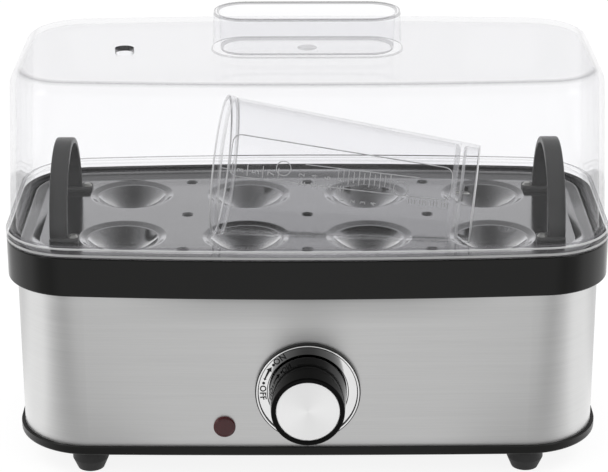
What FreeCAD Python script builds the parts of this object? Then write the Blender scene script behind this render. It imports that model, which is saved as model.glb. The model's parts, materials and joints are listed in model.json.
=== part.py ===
import FreeCAD
import Part
import os
from math import atan2, cos, degrees, radians, sin, sqrt, tan
from collections import namedtuple

# Egg boiler for eight eggs: steel water pan and tray in a black rim, clear lid, rotary switch.
# Millimetres. X runs to the right, Y to the back, Z up. The body is drawn about its own middle;
# at the end every piece moves back a little, so that the origin lies on the plane of the feet
# in the middle of the whole footprint, knob included.

Vector = FreeCAD.Vector
Plan = namedtuple("Plan", "half_width half_depth corner bow")

# Egg cups, which set the plan of everything round them
CUP_PITCH = 51.3
CUP_COLUMNS = 4
CUP_ROWS = 2
CUP_RADIUS = 18.0
CUP_LEDGE_WIDTH = 2.4
CUP_LEDGE_DROP = 1.2
CUP_BOWL_STEP = 0.8
CUP_BOWL_DEPTH = 6.2

# Rim: margins round the cups, corner radius, and radius of the slightly bowed front and back
CUP_SIDE_MARGIN = 30.05
CUP_FACE_MARGIN = 16.95
RIM_CORNER = 29.6
RIM_BOW = 1240.0
RIM_WALL = 2.4
RIM_EDGE = 0.8
RIM_SKIRT = 7.4
RIM_WEB = 2.4
RIM_HEIGHT = 16.9

# Steel body under the rim, flatter than the rim
BODY_SIDE_GAP = 1.0
BODY_FACE_GAP = 3.0
BODY_CORNER = 30.4
BODY_BOW = 4600.0
BODY_HEIGHT = 75.8
SHELL_SHEET = 0.7

# Base plate
BASE_FLOOR = 2.5
BASE_LIP_HEIGHT = 3.8
BASE_LIP_REACH = 1.6
BASE_UPSTAND_WALL = 1.8
BASE_UPSTAND_HEIGHT = 9.0
BASE_EDGE = 1.2

# General clearances, and how far a cutting tool runs past what it cuts
SLIDE_GAP = 0.4
REST_GAP = 0.3
HOLE_GAP = 0.2
CUT_SPARE = 1.0

# Feet
FOOT_HEIGHT = 10.2
FOOT_SIDE_INSET = 29.6
FOOT_FACE_INSET = 10.7
FOOT_RADIUS = 7.6
FOOT_SOLE_RADIUS = 5.6
FOOT_TAPER_HEIGHT = 4.6
FOOT_STEM_RADIUS = 2.5
FOOT_BARB_RADIUS = 3.2
FOOT_BARB_LENGTH = 2.0
FOOT_TIP_RADIUS = 1.5

# Posts under the rim and the screws that pull the base plate up against them
POST_Y = 27.0
POST_RADIUS = 4.5
SCREW_RADIUS = 1.5
SCREW_HEAD_RADIUS = 3.1
SCREW_HEAD_HEIGHT = 2.0
SCREW_LENGTH = 14.0

# Water pan, its gasket and its studs
BASIN_CUP_GAP = 3.0
BASIN_CORNER = 20.0
BASIN_BOW = 3000.0
BASIN_DEPTH = 22.0
BASIN_FILLET = 2.0
PAN_SHEET = 1.0
GASKET_THICKNESS = 0.8
PAN_STUD_Y = 10.0
STUD_RADIUS = 1.5
STUD_SPARE = 0.6
NUT_WALL = 1.5
NUT_HEIGHT = 2.4
HEX_SIDES = 6

# Egg tray: recessed field, sloped step, raised border and turned-down skirt
TRAY_SHEET = 0.8
TRAY_BORDER = 4.6
TRAY_STEP_RUN = 3.8
TRAY_STEP_RISE = 1.5
TRAY_SKIRT = 4.6
STEAM_HOLE_RADIUS = 1.6
STEAM_SINK_WIDTH = 1.1
STEAM_ROW_INSET = 5.5

# Tray handles: arched straps with a pad at each foot, riveted to the tray
HANDLE_FACE_INSET = 13.6
HANDLE_WIDTH = 7.4
HANDLE_THICKNESS = 2.8
PAD_LENGTH = 8.6
PAD_THICKNESS = 2.0
PAD_CORNER = 2.0
PAD_MARGIN = 0.3
RIVET_RADIUS = 1.3
RIVET_HEAD_RADIUS = 2.0
RIVET_HEAD_HEIGHT = 1.0
RIVET_FOOT_HEIGHT = 0.5
RIVET_CROWN_RADIUS = 1.2

# Lid: flange, lip inside the rim, drafted wall, ring handle and vent hole
LID_FLANGE_REACH = 0.2
LID_FLANGE_HEIGHT = 4.2
LID_WALL_SETBACK = 1.6
LID_HEADROOM = 12.8
LID_DRAFT = 3.2
LID_SHEET = 2.2
LID_EDGE = 6.5
LID_LIP_DROP = 1.6
LID_LIP_WALL = 1.6
LIP_TRAY_GAP = 0.6
GRIP_HALF_WIDTH = 38.6
GRIP_HALF_DEPTH = 15.0
GRIP_END_FLAT = 2.0
GRIP_BOW = 3000.0
GRIP_HEIGHT = 16.1
GRIP_WALL = 2.2
GRIP_DRAFT = 0.5
VENT_X = -76.0
VENT_RADIUS = 4.0

# Measuring beaker, lying on the tray with its mouth to the left
BEAKER_LENGTH = 106.0
BEAKER_MOUTH_RADIUS = 29.4
BEAKER_TAPER = 9.2
BEAKER_WALL = 1.3
BEAKER_BASE_SKIRT = 8.0
BEAKER_BEAD = 0.8
BEAKER_TURN = -6.0
BEAKER_MIDDLE_X = 14.4
BEAKER_FRONT_GAP = 3.4
PIN_LENGTH = 6.0
PIN_RADIUS = 0.7
PIN_BOSS_WALL = 3.3
PIN_BOSS_HEIGHT = 2.0

# Rotary switch, dial ring and knob, all on one axis through the front of the shell
DIAL_FOOT_GAP = 3.8
SHAFT_RADIUS = 3.0
SHAFT_FIT = 0.05
BUSH_WALL = 0.95
BUSH_REACH = 6.0
SWITCH_WIDTH = 32.0
SWITCH_DEPTH = 18.0
SWITCH_HEIGHT = 28.0
SWITCH_NUT_WALL = 2.5
SWITCH_NUT_HEIGHT = 2.0
DIAL_LIP_WIDTH = 1.0
DIAL_LIP_HEIGHT = 2.6
DIAL_FACE_WIDTH = 4.1
DIAL_FACE_HEIGHT = 1.3
DIAL_WELL_GAP = 0.5
DIAL_PLATE = 0.6
KNOB_BASE_RADIUS = 16.2
KNOB_TAPER = 1.2
KNOB_REACH = 20.9
KNOB_GAP = 1.4
KNOB_WALL = 2.2
KNOB_EDGE = 1.2
KNOB_LAND = 1.9
KNOB_HUB_WALL = 3.0
DISC_THICKNESS = 0.8
DISC_RECESS = 0.6

# Pilot lamp
LAMP_DIAL_GAP = 8.3
LAMP_FOOT_GAP = 4.7
LENS_RADIUS = 4.6
LENS_EDGE = 0.8
LENS_CROWN = 0.6
LENS_DOME = 0.2
LENS_OVERLAP = 0.8
LAMP_BODY_LENGTH = 16.0
LAMP_COLLAR = 0.6

# Cord entry grommet in the back of the shell
GROMMET_SIDE_INSET = 41.6
GROMMET_HEIGHT = 16.0
GROMMET_BORE_RADIUS = 3.4
GROMMET_NECK_WALL = 2.0
GROMMET_FLANGE_WIDTH = 2.6
GROMMET_FLANGE = 2.6
GROMMET_TAPER = 1.0

# Heating parts under the pan
ELEMENT_RADIUS = 3.2
ELEMENT_SIDE_INSET = 18.0
ELEMENT_FACE_INSET = 22.6
ELEMENT_LEG_X = 14.0
ELEMENT_LEG_DROP = 20.0
ELEMENT_BEND = 12.0
PIN_END_RADIUS = 1.6
PIN_END_LENGTH = 6.0
CLAMP_X = 50.0
CLAMP_WIDTH = 12.0
CLAMP_THICKNESS = 1.5
CLAMP_OVERHANG = 5.0
THERMOSTAT_RADIUS = 8.0
THERMOSTAT_HEIGHT = 5.0
BRACKET_WIDTH = 10.0
BRACKET_THICKNESS = 1.2
BRACKET_OVERHANG = 4.0
FUSE_LENGTH = 18.0
FUSE_GAP = 1.25

# Terminal block and internal wires
BLOCK_X = 62.0
BLOCK_Y = 34.0
BLOCK_WIDTH = 26.0
BLOCK_DEPTH = 14.0
BLOCK_HEIGHT = 12.0
TERMINAL_SIDE = 8.7
TERMINAL_HEIGHT = 4.0
TERMINAL_WELL_RADIUS = 2.4
TERMINAL_WELL_DEPTH = 3.6
WIRE_RADIUS = 1.2
WIRE_BEND = 7.0
WIRE_RUN = 18.0
TAIL_BEND = 3.0
TAIL_RUN = 5.0
TAIL_SLACK = 6.0

# Levels worked out from the heights
base_bottom = FOOT_HEIGHT
floor_top = base_bottom + BASE_FLOOR
shell_bottom = base_bottom + BASE_LIP_HEIGHT
shell_top = shell_bottom + BODY_HEIGHT
rim_bottom = shell_top - RIM_SKIRT
rim_top = rim_bottom + RIM_HEIGHT
web_top = shell_top + RIM_WEB
flange_bottom = web_top + GASKET_THICKNESS
flange_top = flange_bottom + PAN_SHEET
basin_floor_top = flange_top - BASIN_DEPTH
basin_underside = basin_floor_top - PAN_SHEET
border_top = flange_top + TRAY_SKIRT
field_top = border_top - TRAY_STEP_RISE
field_underside = field_top - TRAY_SHEET
lid_wall_bottom = rim_top + LID_FLANGE_HEIGHT

# Plans worked out from the cups outwards and from the rim inwards
cup_reach_x = (CUP_COLUMNS - 1) / 2 * CUP_PITCH + CUP_RADIUS
cup_reach_y = (CUP_ROWS - 1) / 2 * CUP_PITCH + CUP_RADIUS
rim_half_width = cup_reach_x + CUP_SIDE_MARGIN
rim_half_depth = cup_reach_y + CUP_FACE_MARGIN
body_half_width = rim_half_width - RIM_WALL - BODY_SIDE_GAP
body_half_depth = rim_half_depth - RIM_WALL - BODY_FACE_GAP
pan_inset = RIM_WALL + SLIDE_GAP + LID_LIP_WALL + LIP_TRAY_GAP
field_inset = pan_inset + SLIDE_GAP + TRAY_BORDER + TRAY_STEP_RUN
rim_plan = Plan(rim_half_width, rim_half_depth, RIM_CORNER, RIM_BOW)
body_plan = Plan(body_half_width, body_half_depth, BODY_CORNER, BODY_BOW)
basin_plan = Plan(cup_reach_x + BASIN_CUP_GAP, cup_reach_y + BASIN_CUP_GAP, BASIN_CORNER, BASIN_BOW)
grip_plan = Plan(GRIP_HALF_WIDTH, GRIP_HALF_DEPTH, GRIP_HALF_DEPTH - GRIP_END_FLAT, GRIP_BOW)

# Places worked out from the plans
front_face = -body_half_depth
foot_x = body_half_width - FOOT_SIDE_INSET
foot_y = body_half_depth - FOOT_FACE_INSET
post_x = (basin_plan.half_width + body_half_width) / 2
pan_stud_x = (basin_plan.half_width + rim_half_width - pan_inset) / 2
steam_row_y = rim_half_depth - field_inset - STEAM_ROW_INSET
handle_x = (cup_reach_x + rim_half_width - field_inset) / 2
handle_radius = rim_half_depth - field_inset - HANDLE_FACE_INSET
rivet_x = handle_x - HANDLE_WIDTH / 2 - PAD_MARGIN - RIVET_HEAD_RADIUS
pad_inner_x = rivet_x - RIVET_HEAD_RADIUS - PAD_MARGIN

# Beaker and the lid over it
beaker_base_radius = BEAKER_MOUTH_RADIUS - BEAKER_TAPER
beaker_slope = atan2(BEAKER_TAPER, BEAKER_LENGTH)
beaker_mouth_x = BEAKER_MIDDLE_X - BEAKER_LENGTH / 2
lid_front_inside = LID_WALL_SETBACK + LID_DRAFT + LID_SHEET - rim_half_depth
beaker_mouth_y = lid_front_inside + BEAKER_FRONT_GAP + BEAKER_MOUTH_RADIUS
beaker_top = field_top + REST_GAP + 2 * BEAKER_MOUTH_RADIUS * cos(beaker_slope)
lid_top = beaker_top + LID_HEADROOM + LID_SHEET

# Control parts, from the shaft outwards
bush_radius = SHAFT_RADIUS + SHAFT_FIT + BUSH_WALL
switch_nut_radius = bush_radius + SWITCH_NUT_WALL
dial_well_radius = KNOB_BASE_RADIUS + DIAL_WELL_GAP
dial_lip_inner = dial_well_radius + DIAL_FACE_WIDTH
dial_radius = dial_lip_inner + DIAL_LIP_WIDTH
dial_z = shell_bottom + DIAL_FOOT_GAP + dial_radius
knob_front_radius = KNOB_BASE_RADIUS - KNOB_TAPER
disc_radius = knob_front_radius - KNOB_LAND
knob_front = front_face - KNOB_REACH
lamp_body_radius = LENS_RADIUS - LENS_OVERLAP
lamp_x = -dial_radius - LAMP_DIAL_GAP - LENS_RADIUS
lamp_z = shell_bottom + LAMP_FOOT_GAP + LENS_RADIUS
grommet_x = body_half_width - GROMMET_SIDE_INSET
grommet_z = shell_bottom + GROMMET_HEIGHT
grommet_neck_radius = GROMMET_BORE_RADIUS + GROMMET_NECK_WALL
grommet_flange_radius = grommet_neck_radius + GROMMET_FLANGE_WIDTH

# Heater and thermostat
element_half_width = basin_plan.half_width - ELEMENT_SIDE_INSET
element_half_depth = basin_plan.half_depth - ELEMENT_FACE_INSET
fuse_radius = THERMOSTAT_HEIGHT / 2
fuse_x = THERMOSTAT_RADIUS + FUSE_GAP + fuse_radius
bracket_stud_x = fuse_x + fuse_radius + FUSE_GAP + STUD_RADIUS

# Middle of the whole footprint, from the knob's front to the back of the lid
footprint_middle = (knob_front + rim_half_depth + LID_FLANGE_REACH) / 2


def inset(plan, distance):
    """Plan moved inwards all round, so its walls stay parallel."""
    return Plan(*(size - distance for size in plan))


def plan_wire(plan, z):
    """Closed outline of four corner arcs, two straight sides and a bowed front and back."""
    corner_x = plan.half_width - plan.corner
    bow_y = plan.half_depth - plan.bow
    corner_y = bow_y + sqrt((plan.bow - plan.corner) ** 2 - corner_x ** 2)
    sweep = atan2(corner_y - bow_y, corner_x)

    def on_corner(angle, side_x, side_y):
        x = corner_x + plan.corner * cos(angle)
        y = corner_y + plan.corner * sin(angle)
        return Vector(side_x * x, side_y * y, z)

    edges = []
    for side_x, side_y in ((1, 1), (-1, 1), (-1, -1), (1, -1)):
        points = [on_corner(share * sweep, side_x, side_y) for share in (0.0, 0.5, 1.0)]
        if side_x * side_y < 0:
            points.reverse()
        edges.append(Part.Arc(*points).toShape())
        if side_x * side_y > 0:
            top = Vector(0, side_y * plan.half_depth, z)
            end = Vector(-points[2].x, points[2].y, z)
            edges.append(Part.Arc(points[2], top, end).toShape())
        else:
            end = Vector(points[2].x, -points[2].y, z)
            edges.append(Part.makeLine(points[2], end))
    return Part.Wire(edges)


def prism(plan, z_low, z_high):
    """Solid of one plan between two heights."""
    return Part.Face(plan_wire(plan, z_low)).extrude(Vector(0, 0, z_high - z_low))


def taper(low_plan, z_low, high_plan, z_high):
    """Solid whose plan changes evenly from one height to another."""
    return Part.makeLoft([plan_wire(low_plan, z_low), plan_wire(high_plan, z_high)], True, True)


def wall_ring(plan, thickness, z_low, z_high):
    """Upright wall that follows a plan, with its outer face on it."""
    return prism(plan, z_low, z_high).cut(prism(inset(plan, thickness), z_low, z_high))


def box(x, y, z, width, depth, height):
    """Box centred in plan on x and y that stands on z."""
    return Part.makeBox(width, depth, height, Vector(x - width / 2, y - depth / 2, z))


def rod(x, y, z, radius, length, axis=Vector(0, 0, 1)):
    """Round rod from a point along an axis."""
    return Part.makeCylinder(radius, length, Vector(x, y, z), axis)


def turned(points, base=Vector(0, 0, 0), axis=Vector(0, 0, 1)):
    """Solid turned from a closed half profile of radius and height pairs, then set on an axis."""
    wire = Part.makePolygon([Vector(r, 0, h) for r, h in points + points[:1]])
    solid = Part.Face(wire).revolve(Vector(0, 0, 0), Vector(0, 0, 1), 360)
    solid.Placement = FreeCAD.Placement(base, FreeCAD.Rotation(Vector(0, 0, 1), axis))
    return solid


def four_ways(x, y):
    """The four mirrored places of a point, named by front or rear and left or right."""
    return {"fl": (-x, -y), "fr": (x, -y), "rl": (-x, y), "rr": (x, y)}


def face_depth(plan, x):
    """How far the bowed front or back of a plan stands from the middle, at one x."""
    return sqrt(plan.bow ** 2 - x ** 2) - plan.bow + plan.half_depth


def level_edges(solid, z):
    """Edges that lie flat at one height."""
    return [e for e in solid.Edges if abs(e.BoundBox.ZMin - z) < 1e-4 and abs(e.BoundBox.ZMax - z) < 1e-4]


def bent_path(points, bend):
    """Wire of straight runs joined by tangent arcs of one bend radius."""
    edges = []
    start = points[0]
    for corner, after in zip(points[1:-1], points[2:]):
        into = (corner - start).normalize()
        away = (after - corner).normalize()
        turn = into.getAngle(away)
        back = bend * tan(turn / 2)
        first = corner - into * back
        last = corner + away * back
        inward = (away - into).normalize()
        middle = corner + inward * (bend / cos(turn / 2) - bend)
        edges.append(Part.makeLine(start, first))
        edges.append(Part.Arc(first, middle, last).toShape())
        start = last
    edges.append(Part.makeLine(start, points[-1]))
    return Part.Wire(edges)


def tube(points, radius, bend):
    """Round bar swept along a bent path."""
    path = bent_path(points, bend)
    heading = points[1] - points[0]
    section = Part.Wire(Part.makeCircle(radius, points[0], heading))
    return path.makePipeShell([section], True, False)


def make_base_plate():
    """Black tray under the body: floor, lip under the shell and an upstand inside it."""
    lip_plan = inset(body_plan, -BASE_LIP_REACH)
    plate = prism(lip_plan, base_bottom, shell_bottom)
    plate = plate.makeFillet(BASE_EDGE, level_edges(plate, base_bottom))
    upstand_plan = inset(body_plan, SHELL_SHEET + SLIDE_GAP)
    inner_plan = inset(upstand_plan, BASE_UPSTAND_WALL)
    plate = plate.cut(prism(inner_plan, floor_top, shell_bottom))
    upstand_top = shell_bottom + BASE_UPSTAND_HEIGHT
    plate = plate.fuse(wall_ring(upstand_plan, BASE_UPSTAND_WALL, shell_bottom, upstand_top))
    for x, y in four_ways(foot_x, foot_y).values():
        plate = plate.cut(rod(x, y, base_bottom, FOOT_STEM_RADIUS, BASE_FLOOR))
    for x, y in four_ways(post_x, POST_Y).values():
        plate = plate.cut(rod(x, y, base_bottom, SCREW_RADIUS, BASE_FLOOR))
    plate = plate.cut(rod(BLOCK_X, BLOCK_Y, base_bottom, SCREW_RADIUS, BASE_FLOOR))
    notch = lamp_body_radius + LAMP_COLLAR + SLIDE_GAP
    depth = SHELL_SHEET + SLIDE_GAP + 2 * BASE_UPSTAND_WALL
    plate = plate.cut(rod(lamp_x, front_face, lamp_z, notch, depth, Vector(0, 1, 0)))
    return plate.removeSplitter()


def make_body_shell():
    """Brushed steel sheet wrapped round the body, open above and below."""
    shell = wall_ring(body_plan, SHELL_SHEET, shell_bottom, shell_top)
    holes = (
        (0, dial_z, bush_radius + HOLE_GAP, front_face),
        (lamp_x, lamp_z, lamp_body_radius, front_face),
        (grommet_x, grommet_z, grommet_neck_radius, -front_face),
    )
    for x, z, radius, face in holes:
        shell = shell.cut(rod(x, face - BODY_CORNER / 2, z, radius, BODY_CORNER, Vector(0, 1, 0)))
    return shell


def make_rim_band():
    """Black rim: outer wall, web that carries the pan, and posts for the base screws."""
    band = prism(rim_plan, rim_bottom, rim_top)
    band = band.makeFillet(RIM_EDGE, level_edges(band, rim_bottom) + level_edges(band, rim_top))
    inner = inset(rim_plan, RIM_WALL)
    band = band.cut(prism(inner, rim_bottom, shell_top))
    band = band.cut(prism(inner, web_top, rim_top))
    band = band.cut(prism(inset(basin_plan, -PAN_SHEET - SLIDE_GAP), shell_top, web_top))
    for x, y in four_ways(post_x, POST_Y).values():
        post = rod(x, y, floor_top, POST_RADIUS, shell_top - floor_top)
        band = band.fuse(post)
        band = band.cut(rod(x, y, floor_top, SCREW_RADIUS, SCREW_LENGTH))
    for x, y in four_ways(pan_stud_x, PAN_STUD_Y).values():
        band = band.cut(rod(x, y, shell_top, STUD_RADIUS + SLIDE_GAP, RIM_WEB))
    return band.removeSplitter()


def make_foot(x, y):
    """Rubber foot with a stem pushed through the base plate and a barb above it."""
    profile = [
        (0, 0),
        (FOOT_SOLE_RADIUS, 0),
        (FOOT_RADIUS, FOOT_TAPER_HEIGHT),
        (FOOT_RADIUS, FOOT_HEIGHT),
        (FOOT_STEM_RADIUS, FOOT_HEIGHT),
        (FOOT_STEM_RADIUS, floor_top),
        (FOOT_BARB_RADIUS, floor_top),
        (FOOT_TIP_RADIUS, floor_top + FOOT_BARB_LENGTH),
        (0, floor_top + FOOT_BARB_LENGTH),
    ]
    return turned(profile, Vector(x, y, 0))


def make_base_screws():
    """Four screws from under the base plate into the posts of the rim."""
    screws = []
    for x, y in four_ways(post_x, POST_Y).values():
        head = rod(x, y, base_bottom - SCREW_HEAD_HEIGHT, SCREW_HEAD_RADIUS, SCREW_HEAD_HEIGHT)
        shank = rod(x, y, base_bottom, SCREW_RADIUS, SCREW_LENGTH)
        screws.append(head.fuse(shank))
    return Part.makeCompound(screws)


def make_pan_gasket():
    """Silicone strip between the web of the rim and the flange of the pan."""
    outer = inset(rim_plan, pan_inset)
    inner = inset(basin_plan, -PAN_SHEET - SLIDE_GAP)
    gasket = prism(outer, web_top, flange_bottom).cut(prism(inner, web_top, flange_bottom))
    for x, y in four_ways(pan_stud_x, PAN_STUD_Y).values():
        gasket = gasket.cut(rod(x, y, web_top, STUD_RADIUS + SLIDE_GAP, GASKET_THICKNESS))
    return gasket


def stud_places():
    """Studs under the pan floor for the heater clamps and the thermostat bracket."""
    return [(-CLAMP_X, 0), (CLAMP_X, 0), (-bracket_stud_x, 0), (bracket_stud_x, 0)]


def stud_seat(x):
    """Underside of the strap that a stud under the pan floor holds."""
    if abs(x) == CLAMP_X:
        return basin_underside - 2 * ELEMENT_RADIUS - CLAMP_THICKNESS
    return basin_underside - THERMOSTAT_HEIGHT - BRACKET_THICKNESS


def make_heating_pan():
    """Steel water pan with a wide flange, four fixing studs and studs under its floor."""
    pan = prism(inset(rim_plan, pan_inset), flange_bottom, flange_top)
    pan = pan.fuse(prism(inset(basin_plan, -PAN_SHEET), basin_underside, flange_bottom))
    pan = pan.makeFillet(BASIN_FILLET + PAN_SHEET, level_edges(pan, basin_underside))
    hollow = prism(basin_plan, basin_floor_top, flange_top)
    hollow = hollow.makeFillet(BASIN_FILLET, level_edges(hollow, basin_floor_top))
    pan = pan.cut(hollow)
    for x, y in four_ways(pan_stud_x, PAN_STUD_Y).values():
        bottom = shell_top - NUT_HEIGHT - STUD_SPARE
        pan = pan.fuse(rod(x, y, bottom, STUD_RADIUS, flange_bottom - bottom))
    for x, y in stud_places():
        bottom = stud_seat(x) - NUT_HEIGHT - STUD_SPARE
        pan = pan.fuse(rod(x, y, bottom, STUD_RADIUS, basin_underside - bottom))
    return pan.removeSplitter()


def hexagon(radius):
    """Corners of a hexagon in the XY plane, first one repeated."""
    turns = [radians(360 / HEX_SIDES * k) for k in range(HEX_SIDES + 1)]
    return [Vector(radius * cos(turn), radius * sin(turn), 0) for turn in turns]


def make_nut(x, y, z_top):
    """Hexagon nut with its upper face at a height."""
    nut = Part.Face(Part.makePolygon(hexagon(STUD_RADIUS + NUT_WALL))).extrude(Vector(0, 0, -NUT_HEIGHT))
    nut = nut.cut(rod(0, 0, -NUT_HEIGHT, STUD_RADIUS, NUT_HEIGHT))
    nut.translate(Vector(x, y, z_top))
    return nut


def make_pan_nuts():
    """Four nuts that pull the pan down on the web of the rim."""
    places = four_ways(pan_stud_x, PAN_STUD_Y).values()
    return Part.makeCompound([make_nut(x, y, shell_top) for x, y in places])


def make_stud_nuts():
    """Four nuts on the studs under the pan floor."""
    return Part.makeCompound([make_nut(x, y, stud_seat(x)) for x, y in stud_places()])


def make_heater_element():
    """Sheathed tubular heater bent to a long loop, flat against the pan, with two legs down."""
    level = basin_underside - ELEMENT_RADIUS
    foot = level - ELEMENT_LEG_DROP
    front = -element_half_depth
    points = [
        Vector(-ELEMENT_LEG_X, front, foot),
        Vector(-ELEMENT_LEG_X, front, level),
        Vector(-element_half_width, front, level),
        Vector(-element_half_width, element_half_depth, level),
        Vector(element_half_width, element_half_depth, level),
        Vector(element_half_width, front, level),
        Vector(ELEMENT_LEG_X, front, level),
        Vector(ELEMENT_LEG_X, front, foot),
    ]
    return tube(points, ELEMENT_RADIUS, ELEMENT_BEND)


def make_heater_pins():
    """Terminal pins in the two ends of the heater."""
    ends = [pin_end(side) for side in (-1, 1)]
    return Part.makeCompound([rod(end.x, end.y, end.z, PIN_END_RADIUS, PIN_END_LENGTH) for end in ends])


def make_strap(x, width, depth, thickness, z_top, stud_xs):
    """Flat strap under the pan with a hole for each stud."""
    strap = box(x, 0, z_top - thickness, width, depth, thickness)
    for stud_x in stud_xs:
        strap = strap.cut(rod(stud_x, 0, z_top - thickness, STUD_RADIUS + HOLE_GAP, thickness))
    return strap


def make_heater_clamp(side):
    """Strap across both runs of the heater."""
    depth = 2 * (element_half_depth + ELEMENT_RADIUS + CLAMP_OVERHANG)
    x = side * CLAMP_X
    return make_strap(x, CLAMP_WIDTH, depth, CLAMP_THICKNESS, basin_underside - 2 * ELEMENT_RADIUS, [x])


def make_thermostat():
    """Disc thermostat against the middle of the pan floor."""
    return rod(0, 0, basin_underside - THERMOSTAT_HEIGHT, THERMOSTAT_RADIUS, THERMOSTAT_HEIGHT)


def make_thermostat_bracket():
    """Strap that presses the thermostat and the thermal fuse to the pan."""
    width = 2 * (bracket_stud_x + BRACKET_OVERHANG)
    studs = [-bracket_stud_x, bracket_stud_x]
    return make_strap(0, width, BRACKET_WIDTH, BRACKET_THICKNESS, basin_underside - THERMOSTAT_HEIGHT, studs)


def make_thermal_fuse():
    """One-shot fuse held between the bracket and the pan, beside the thermostat."""
    level = basin_underside - fuse_radius
    return rod(fuse_x, -FUSE_LENGTH / 2, level, fuse_radius, FUSE_LENGTH, Vector(0, 1, 0))


def cup_places():
    """Centres of the egg cups in plan."""
    for row in range(CUP_ROWS):
        for column in range(CUP_COLUMNS):
            x = (column - (CUP_COLUMNS - 1) / 2) * CUP_PITCH
            y = (row - (CUP_ROWS - 1) / 2) * CUP_PITCH
            yield x, y


def cup_surface(drop):
    """Edges of half a cup's upper surface, lowered by a distance: step, ledge and round bowl."""
    ledge_radius = CUP_RADIUS - CUP_LEDGE_WIDTH
    bowl_radius = ledge_radius - CUP_BOWL_STEP
    top = field_top - drop
    ledge = top - CUP_LEDGE_DROP
    bottom = ledge - CUP_BOWL_DEPTH
    ball = (bowl_radius ** 2 + CUP_BOWL_DEPTH ** 2) / (2 * CUP_BOWL_DEPTH)
    half = atan2(bowl_radius, ball - CUP_BOWL_DEPTH) / 2
    middle = Vector(ball * sin(half), 0, bottom + ball - ball * cos(half))
    rim = Vector(CUP_RADIUS, 0, top)
    inner = Vector(ledge_radius, 0, ledge)
    bowl = Vector(bowl_radius, 0, ledge)
    centre = Vector(0, 0, bottom)
    arc = Part.Arc(bowl, middle, centre).toShape()
    return [Part.makeLine(rim, inner), Part.makeLine(inner, bowl), arc]


def cup_solid(x, y):
    """One egg cup of the tray, as sheet."""
    upper = cup_surface(0)
    lower = cup_surface(TRAY_SHEET)
    deepest = Vector(0, 0, field_top - CUP_LEDGE_DROP - CUP_BOWL_DEPTH)
    edge = Vector(CUP_RADIUS, 0, field_top)
    thickness = Vector(0, 0, TRAY_SHEET)
    axis_line = Part.makeLine(deepest, deepest - thickness)
    rim_line = Part.makeLine(edge - thickness, edge)
    wire = Part.Wire(Part.__sortEdges__(upper + [axis_line] + lower + [rim_line]))
    cup = Part.Face(wire).revolve(Vector(0, 0, 0), Vector(0, 0, 1), 360)
    cup.translate(Vector(x, y, 0))
    return cup


def steam_places():
    """Centres of the steam holes: three columns between the cups, three rows."""
    for column in range(1 - CUP_COLUMNS // 2, CUP_COLUMNS // 2):
        for y in (-steam_row_y, 0, steam_row_y):
            yield column * CUP_PITCH, y


def rivet_places(side):
    """Two rivets of one handle."""
    y = handle_radius - HANDLE_THICKNESS / 2
    return {"front": (side * rivet_x, -y), "rear": (side * rivet_x, y)}


def sheet_hole(x, y, radius):
    """Tool that cuts a round hole through the tray's field."""
    return rod(x, y, field_underside - CUT_SPARE, radius, TRAY_SHEET + 2 * CUT_SPARE)


def make_egg_tray():
    """Pressed steel tray with eight egg cups, steam holes and a skirt that stands on the pan."""
    outer = inset(rim_plan, pan_inset + SLIDE_GAP)
    skirt = inset(outer, TRAY_SHEET)
    step_top = inset(outer, TRAY_BORDER)
    step_foot = inset(step_top, TRAY_STEP_RUN)
    tray = prism(outer, flange_top, border_top)
    tray = tray.cut(taper(step_foot, field_top, step_top, border_top))
    under = prism(skirt, flange_top, border_top - TRAY_SHEET)
    belly = taper(step_foot, field_top, step_top, border_top)
    belly.translate(Vector(0, 0, -TRAY_SHEET))
    under = under.cut(belly)
    under = under.cut(prism(inset(step_foot, CUT_SPARE), field_underside, field_top))
    tray = tray.cut(under)
    tray = tray.cut(prism(skirt, flange_top, field_underside))
    for x, y in cup_places():
        tray = tray.cut(sheet_hole(x, y, CUP_RADIUS))
        tray = tray.fuse(cup_solid(x, y))
    sink_depth = TRAY_SHEET / 2
    for x, y in steam_places():
        tray = tray.cut(sheet_hole(x, y, STEAM_HOLE_RADIUS))
        foot = Vector(x, y, field_top - sink_depth)
        wide = STEAM_HOLE_RADIUS + STEAM_SINK_WIDTH
        tray = tray.cut(Part.makeCone(STEAM_HOLE_RADIUS, wide, sink_depth, foot))
    for side in (-1, 1):
        for x, y in rivet_places(side).values():
            tray = tray.cut(sheet_hole(x, y, RIVET_RADIUS))
    return tray.removeSplitter()


def make_tray_handle(side):
    """Arched strap with a pad at each foot that reaches inwards for its rivet."""
    across = Vector(1, 0, 0)
    x_low = side * handle_x - HANDLE_WIDTH / 2
    inner_radius = handle_radius - HANDLE_THICKNESS
    arch = rod(x_low, 0, field_top, handle_radius, HANDLE_WIDTH, across)
    arch = arch.cut(rod(x_low, 0, field_top, inner_radius, HANDLE_WIDTH, across))
    drop = 2 * handle_radius
    arch = arch.cut(box(side * handle_x, 0, field_top - drop, HANDLE_WIDTH, 2 * drop, drop))
    pad_outer_x = handle_x + HANDLE_WIDTH / 2
    pad_x = side * (pad_inner_x + pad_outer_x) / 2
    for x, y in rivet_places(side).values():
        pad = box(pad_x, y, field_top, pad_outer_x - pad_inner_x, PAD_LENGTH, PAD_THICKNESS)
        upright = [edge for edge in pad.Edges if edge.BoundBox.ZLength > PAD_THICKNESS / 2]
        arch = arch.fuse(pad.makeFillet(PAD_CORNER, upright))
        arch = arch.cut(rod(x, y, field_top, RIVET_RADIUS, PAD_THICKNESS))
    return arch.removeSplitter()


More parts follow.
